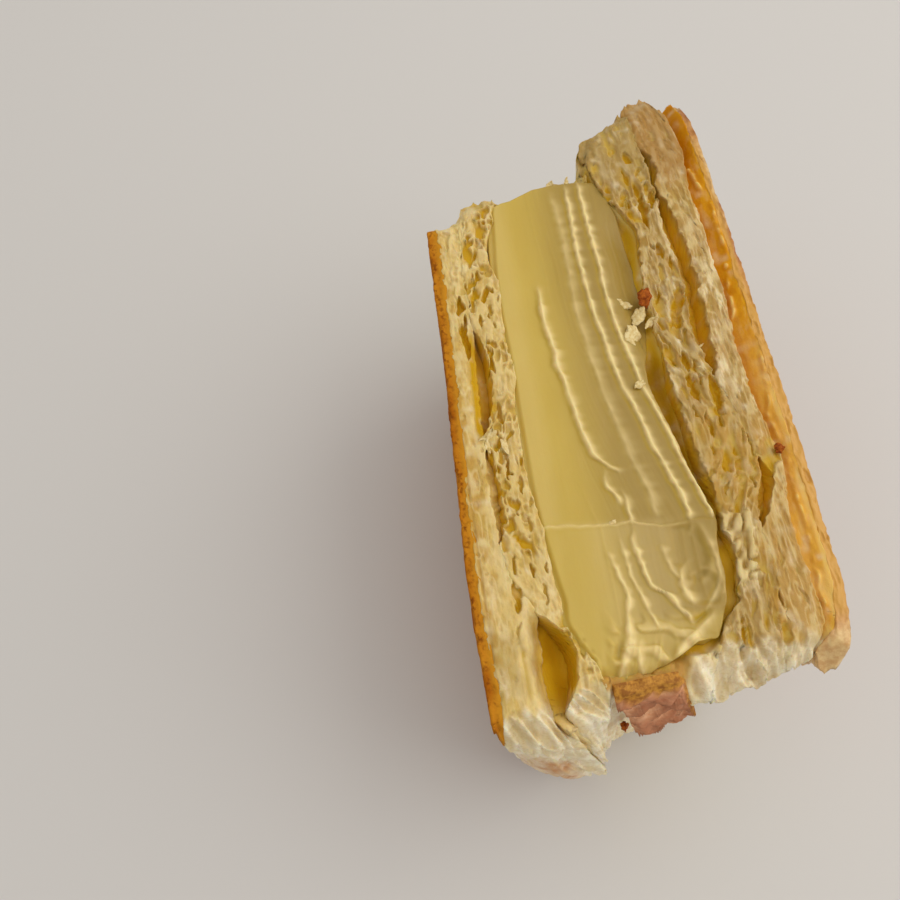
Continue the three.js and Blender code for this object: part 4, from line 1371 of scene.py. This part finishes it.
def end_flap():
    """A browned flap of dough that stands out of the near end just under the cut face. It narrows
    downwards and leans to the top crust's side, and its front is torn into slanting fibres."""
    u, v, w = brick(FLAP_WIDTH, FLAP_HEIGHT, FLAP_LENGTH)
    down = 0.5 - w / FLAP_HEIGHT
    front = smooth(0.36, 0.3, v / FLAP_LENGTH) + 0 * u
    slanting = w - 0.35 * u + 0.3 * drift(u, w, 2, 2, 132)
    fibres = 1.3 * rough((u + 0.35 * w) / 4.0, slanting / 0.8, seed=131)
    lumps = 0.9 * drift(u, w, 3.5, 3, 134)
    top = smooth(0.13, 0.07, down + 0.03 * drift(u, v, 1.5, 2, 137))
    v = v - front * (0.7 * fibres + lumps) * (1 - 0.7 * top) * (1 - 0.5 * down)
    x = FLAP_X + u * (1 - 0.17 * down) + 5.5 * down + 0.25 * drift(v, w, 2, 3, 135)
    y = FLAP_Y + v * (1 + 1.3 * down) - 3.9 * down + (0.08 + 0.16 * down) * u
    z = FLAP_Z + w + 0.35 * drift(u, v, 1.6, 2, 136) * smooth(0.5, 0.0, down)
    side = smooth(0.42, 0.47, np.abs(u / FLAP_WIDTH)) * (u > 0)
    build("end_flap", np.stack([x, y, z], -1), flap_finish(),
          {"glazed": most(top, 0.8 * side, smooth(0.0, 0.4, 1 - front)),
           "streak": smooth(-0.7, 0.7, fibres)})


# ---- loose flakes and crumbs ------------------------------------------------------------------
# x, y, height over the cut face, length, width, thickness, yaw, pitch, roll and curl of each.
PALE_FLAKES = [
    (31.6, 60.2, -0.9, 4.4, 3.0, 0.7, 1.9, 0.35, 0.3, 0.1),
    (33.4, 64.0, -1.0, 3.8, 2.2, 0.6, 1.2, 0.1, -0.4, 0.15),
    (31.6, 66.8, -1.4, 2.8, 1.9, 0.6, 2.6, 0.1, 0.2, 0.1),
    (30.4, 50.6, 0.1, 2.0, 1.1, 0.7, 0.3, 0.1, 0.2, 0.1),
    (35.2, 62.4, -0.7, 2.4, 1.3, 0.4, 0.5, 0.3, 0.5, 0.2),
    (17.5, 56.8, -0.5, 0.6, 0.4, 0.3, 0.5, 0.3, 0.5, 0.2),
    (5.2, 43.6, -0.2, 3.4, 1.4, 0.3, 1.2, 0.2, 0.5, 0.2),
    (4.8, 44.6, -0.1, 2.4, 0.9, 0.25, 0.5, 0.3, -0.4, 0.2),
    (7.6, 42.6, -0.1, 2.6, 1.2, 0.3, 1.9, 0.2, 0.4, 0.1),
    (23.4, 93.9, -1.5, 1.5, 0.9, 0.4, 0.5, 0.3, 0.5, 0.2),
    (26.6, 94.2, -1.7, 1.2, 0.8, 0.4, 1.5, 0.2, 0.5, 0.2),
    (21.6, 28.1, -0.5, 1.3, 0.9, 0.6, 0.8, 0.1, 0.2, 0.1),
    (14.3, 12.2, -0.9, 1.4, 0.7, 0.5, 1.9, 0.1, 0.2, 0.1),
    (41.9, 56.8, -1.2, 1.8, 0.4, 0.25, 0.7, 0.3, 0.2, 0.1),
]
BROWN_CRUMBS = [
    (34.8, 67.0, -0.1, 3.3, 2.3, 1.6, 1.2, 0.2, 0.3, 0.05),
    (49.5, 36.9, 0.1, 1.6, 1.2, 1.0, 0.4, 0.1, 0.2, 0.05),
    (21.0, 1.3, -18.0, 1.5, 1.2, 1.3, 1.5, 0.1, 0.2, 0.05),
]


def turned(u, v, w, yaw, pitch, roll):
    """Local points turned about their own length u by roll, tipped up by pitch about v, and turned
    on the cut face by yaw, all in radians."""
    v, w = v * np.cos(roll) - w * np.sin(roll), v * np.sin(roll) + w * np.cos(roll)
    u, w = u * np.cos(pitch) - w * np.sin(pitch), u * np.sin(pitch) + w * np.cos(pitch)
    return u * np.cos(yaw) - v * np.sin(yaw), u * np.sin(yaw) + v * np.cos(yaw), w


def flakes(places, rows, around, bluntness, ragged, seed):
    """Grids of thin torn flakes or crumbs, one for each row of a table above: a flattened ball,
    blunter at its tips as bluntness falls, whose outline is ragged and which curls along its
    length."""
    px, py, over, long, wide, thick, yaw, pitch, roll, curl = (
        np.array(places, float).T[:, :, None, None])
    number = np.arange(len(places), dtype=float)[:, None, None] * 7.3
    down = np.linspace(0, math.pi, rows)[None, :, None]
    turn = 2 * math.pi * np.arange(around)[None, None, :] / around
    flat = np.sin(down) ** bluntness
    edge = 1 + ragged * rough(1.7 * np.cos(turn) + number, 1.7 * np.sin(turn), 0.8 * np.cos(down),
                              seed=seed)
    u, v = flat * np.cos(turn) * edge, flat * np.sin(turn) * edge
    w = np.cos(down) * thick / 2 * (1 + 0.4 * noise(2 * u + number, 2 * v, seed=seed + 3))
    bent = curl * long * (u**2 - 0.3)
    w = w + bent + 0.12 * wide * noise(1.6 * u + number, 1.6 * v, seed=seed + 4)
    x, y, z = turned(u * long / 2, v * wide / 2, w, yaw, pitch, roll)
    return np.stack([x + px, y + py, z + (CUT + over)], -1)


end_flap()
build("pale_flakes", flakes(PALE_FLAKES, 15, 32, 0.6, 0.45, 151),
      crumb_finish("pale_flake", (236, 216, 160), (216, 186, 120)))
build("brown_crumbs", flakes(BROWN_CRUMBS, 17, 36, 0.85, 0.5, 161),
      crumb_finish("brown_crumb", (184, 98, 26), (124, 52, 6)))


# ---- studio -----------------------------------------------------------------------------------
FLOOR_HALF = 3.0
CAMERA_STAND = (-8.3, -15.4, 186.0)  # in the pastry's millimetres
CAMERA_TURN, CAMERA_DIP = math.radians(7.1), math.radians(65.0)


def window(name, place, size, watts, colour):
    """A soft rectangular light that faces the pastry."""
    light = bpy.data.lights.new(name, "AREA")
    light.shape = "RECTANGLE"
    light.size, light.size_y = size
    light.energy, light.color = watts, colour
    lamp = bpy.data.objects.new(name, light)
    lamp.location = place
    lamp.rotation_euler = (-lamp.location).to_track_quat("-Z", "Y").to_euler()
    bpy.context.scene.collection.objects.link(lamp)


def studio():
    """A plain pale floor, soft light from the near right and above, and the camera: close above the
    near end, looking down along the length."""
    scene = bpy.context.scene
    floor_mesh = bpy.data.meshes.new("floor")
    corners = [(x * FLOOR_HALF, y * FLOOR_HALF, 0) for x, y in ((-1, -1), (1, -1), (1, 1), (-1, 1))]
    floor_mesh.from_pydata(corners, [], [(0, 1, 2, 3)])
    floor = bpy.data.objects.new("floor", floor_mesh)
    scene.collection.objects.link(floor)
    finish = Finish("plain_floor")
    floor_mesh.materials.append(finish.surface(Base_Color=srgb(211, 207, 202), Roughness=0.6))

    world = bpy.data.worlds.new("soft_room")
    world.use_nodes = True
    sky = world.node_tree.nodes["Background"].inputs
    sky["Color"].default_value = (1.0, 0.985, 0.96, 1)
    sky["Strength"].default_value = 0.61
    scene.world = world
    scene.view_settings.view_transform = "Standard"
    window("window_right", (0.60, 0.0, 0.55), (0.9, 1.0), 3.0, (1.0, 0.97, 0.93))
    window("ceiling", (0.1, 0.2, 0.9), (0.8, 0.8), 1.2, (1.0, 0.98, 0.96))

    camera = bpy.data.cameras.new("camera")
    camera.lens, camera.sensor_width = 36.0, 36.0
    camera.clip_start = 0.01
    view = bpy.data.objects.new("camera", camera)
    view.location = (np.array(CAMERA_STAND) + ORIGIN) * MM
    view.rotation_euler = (math.pi / 2 - CAMERA_DIP, 0, -CAMERA_TURN)
    scene.collection.objects.link(view)
    scene.camera = view


studio()
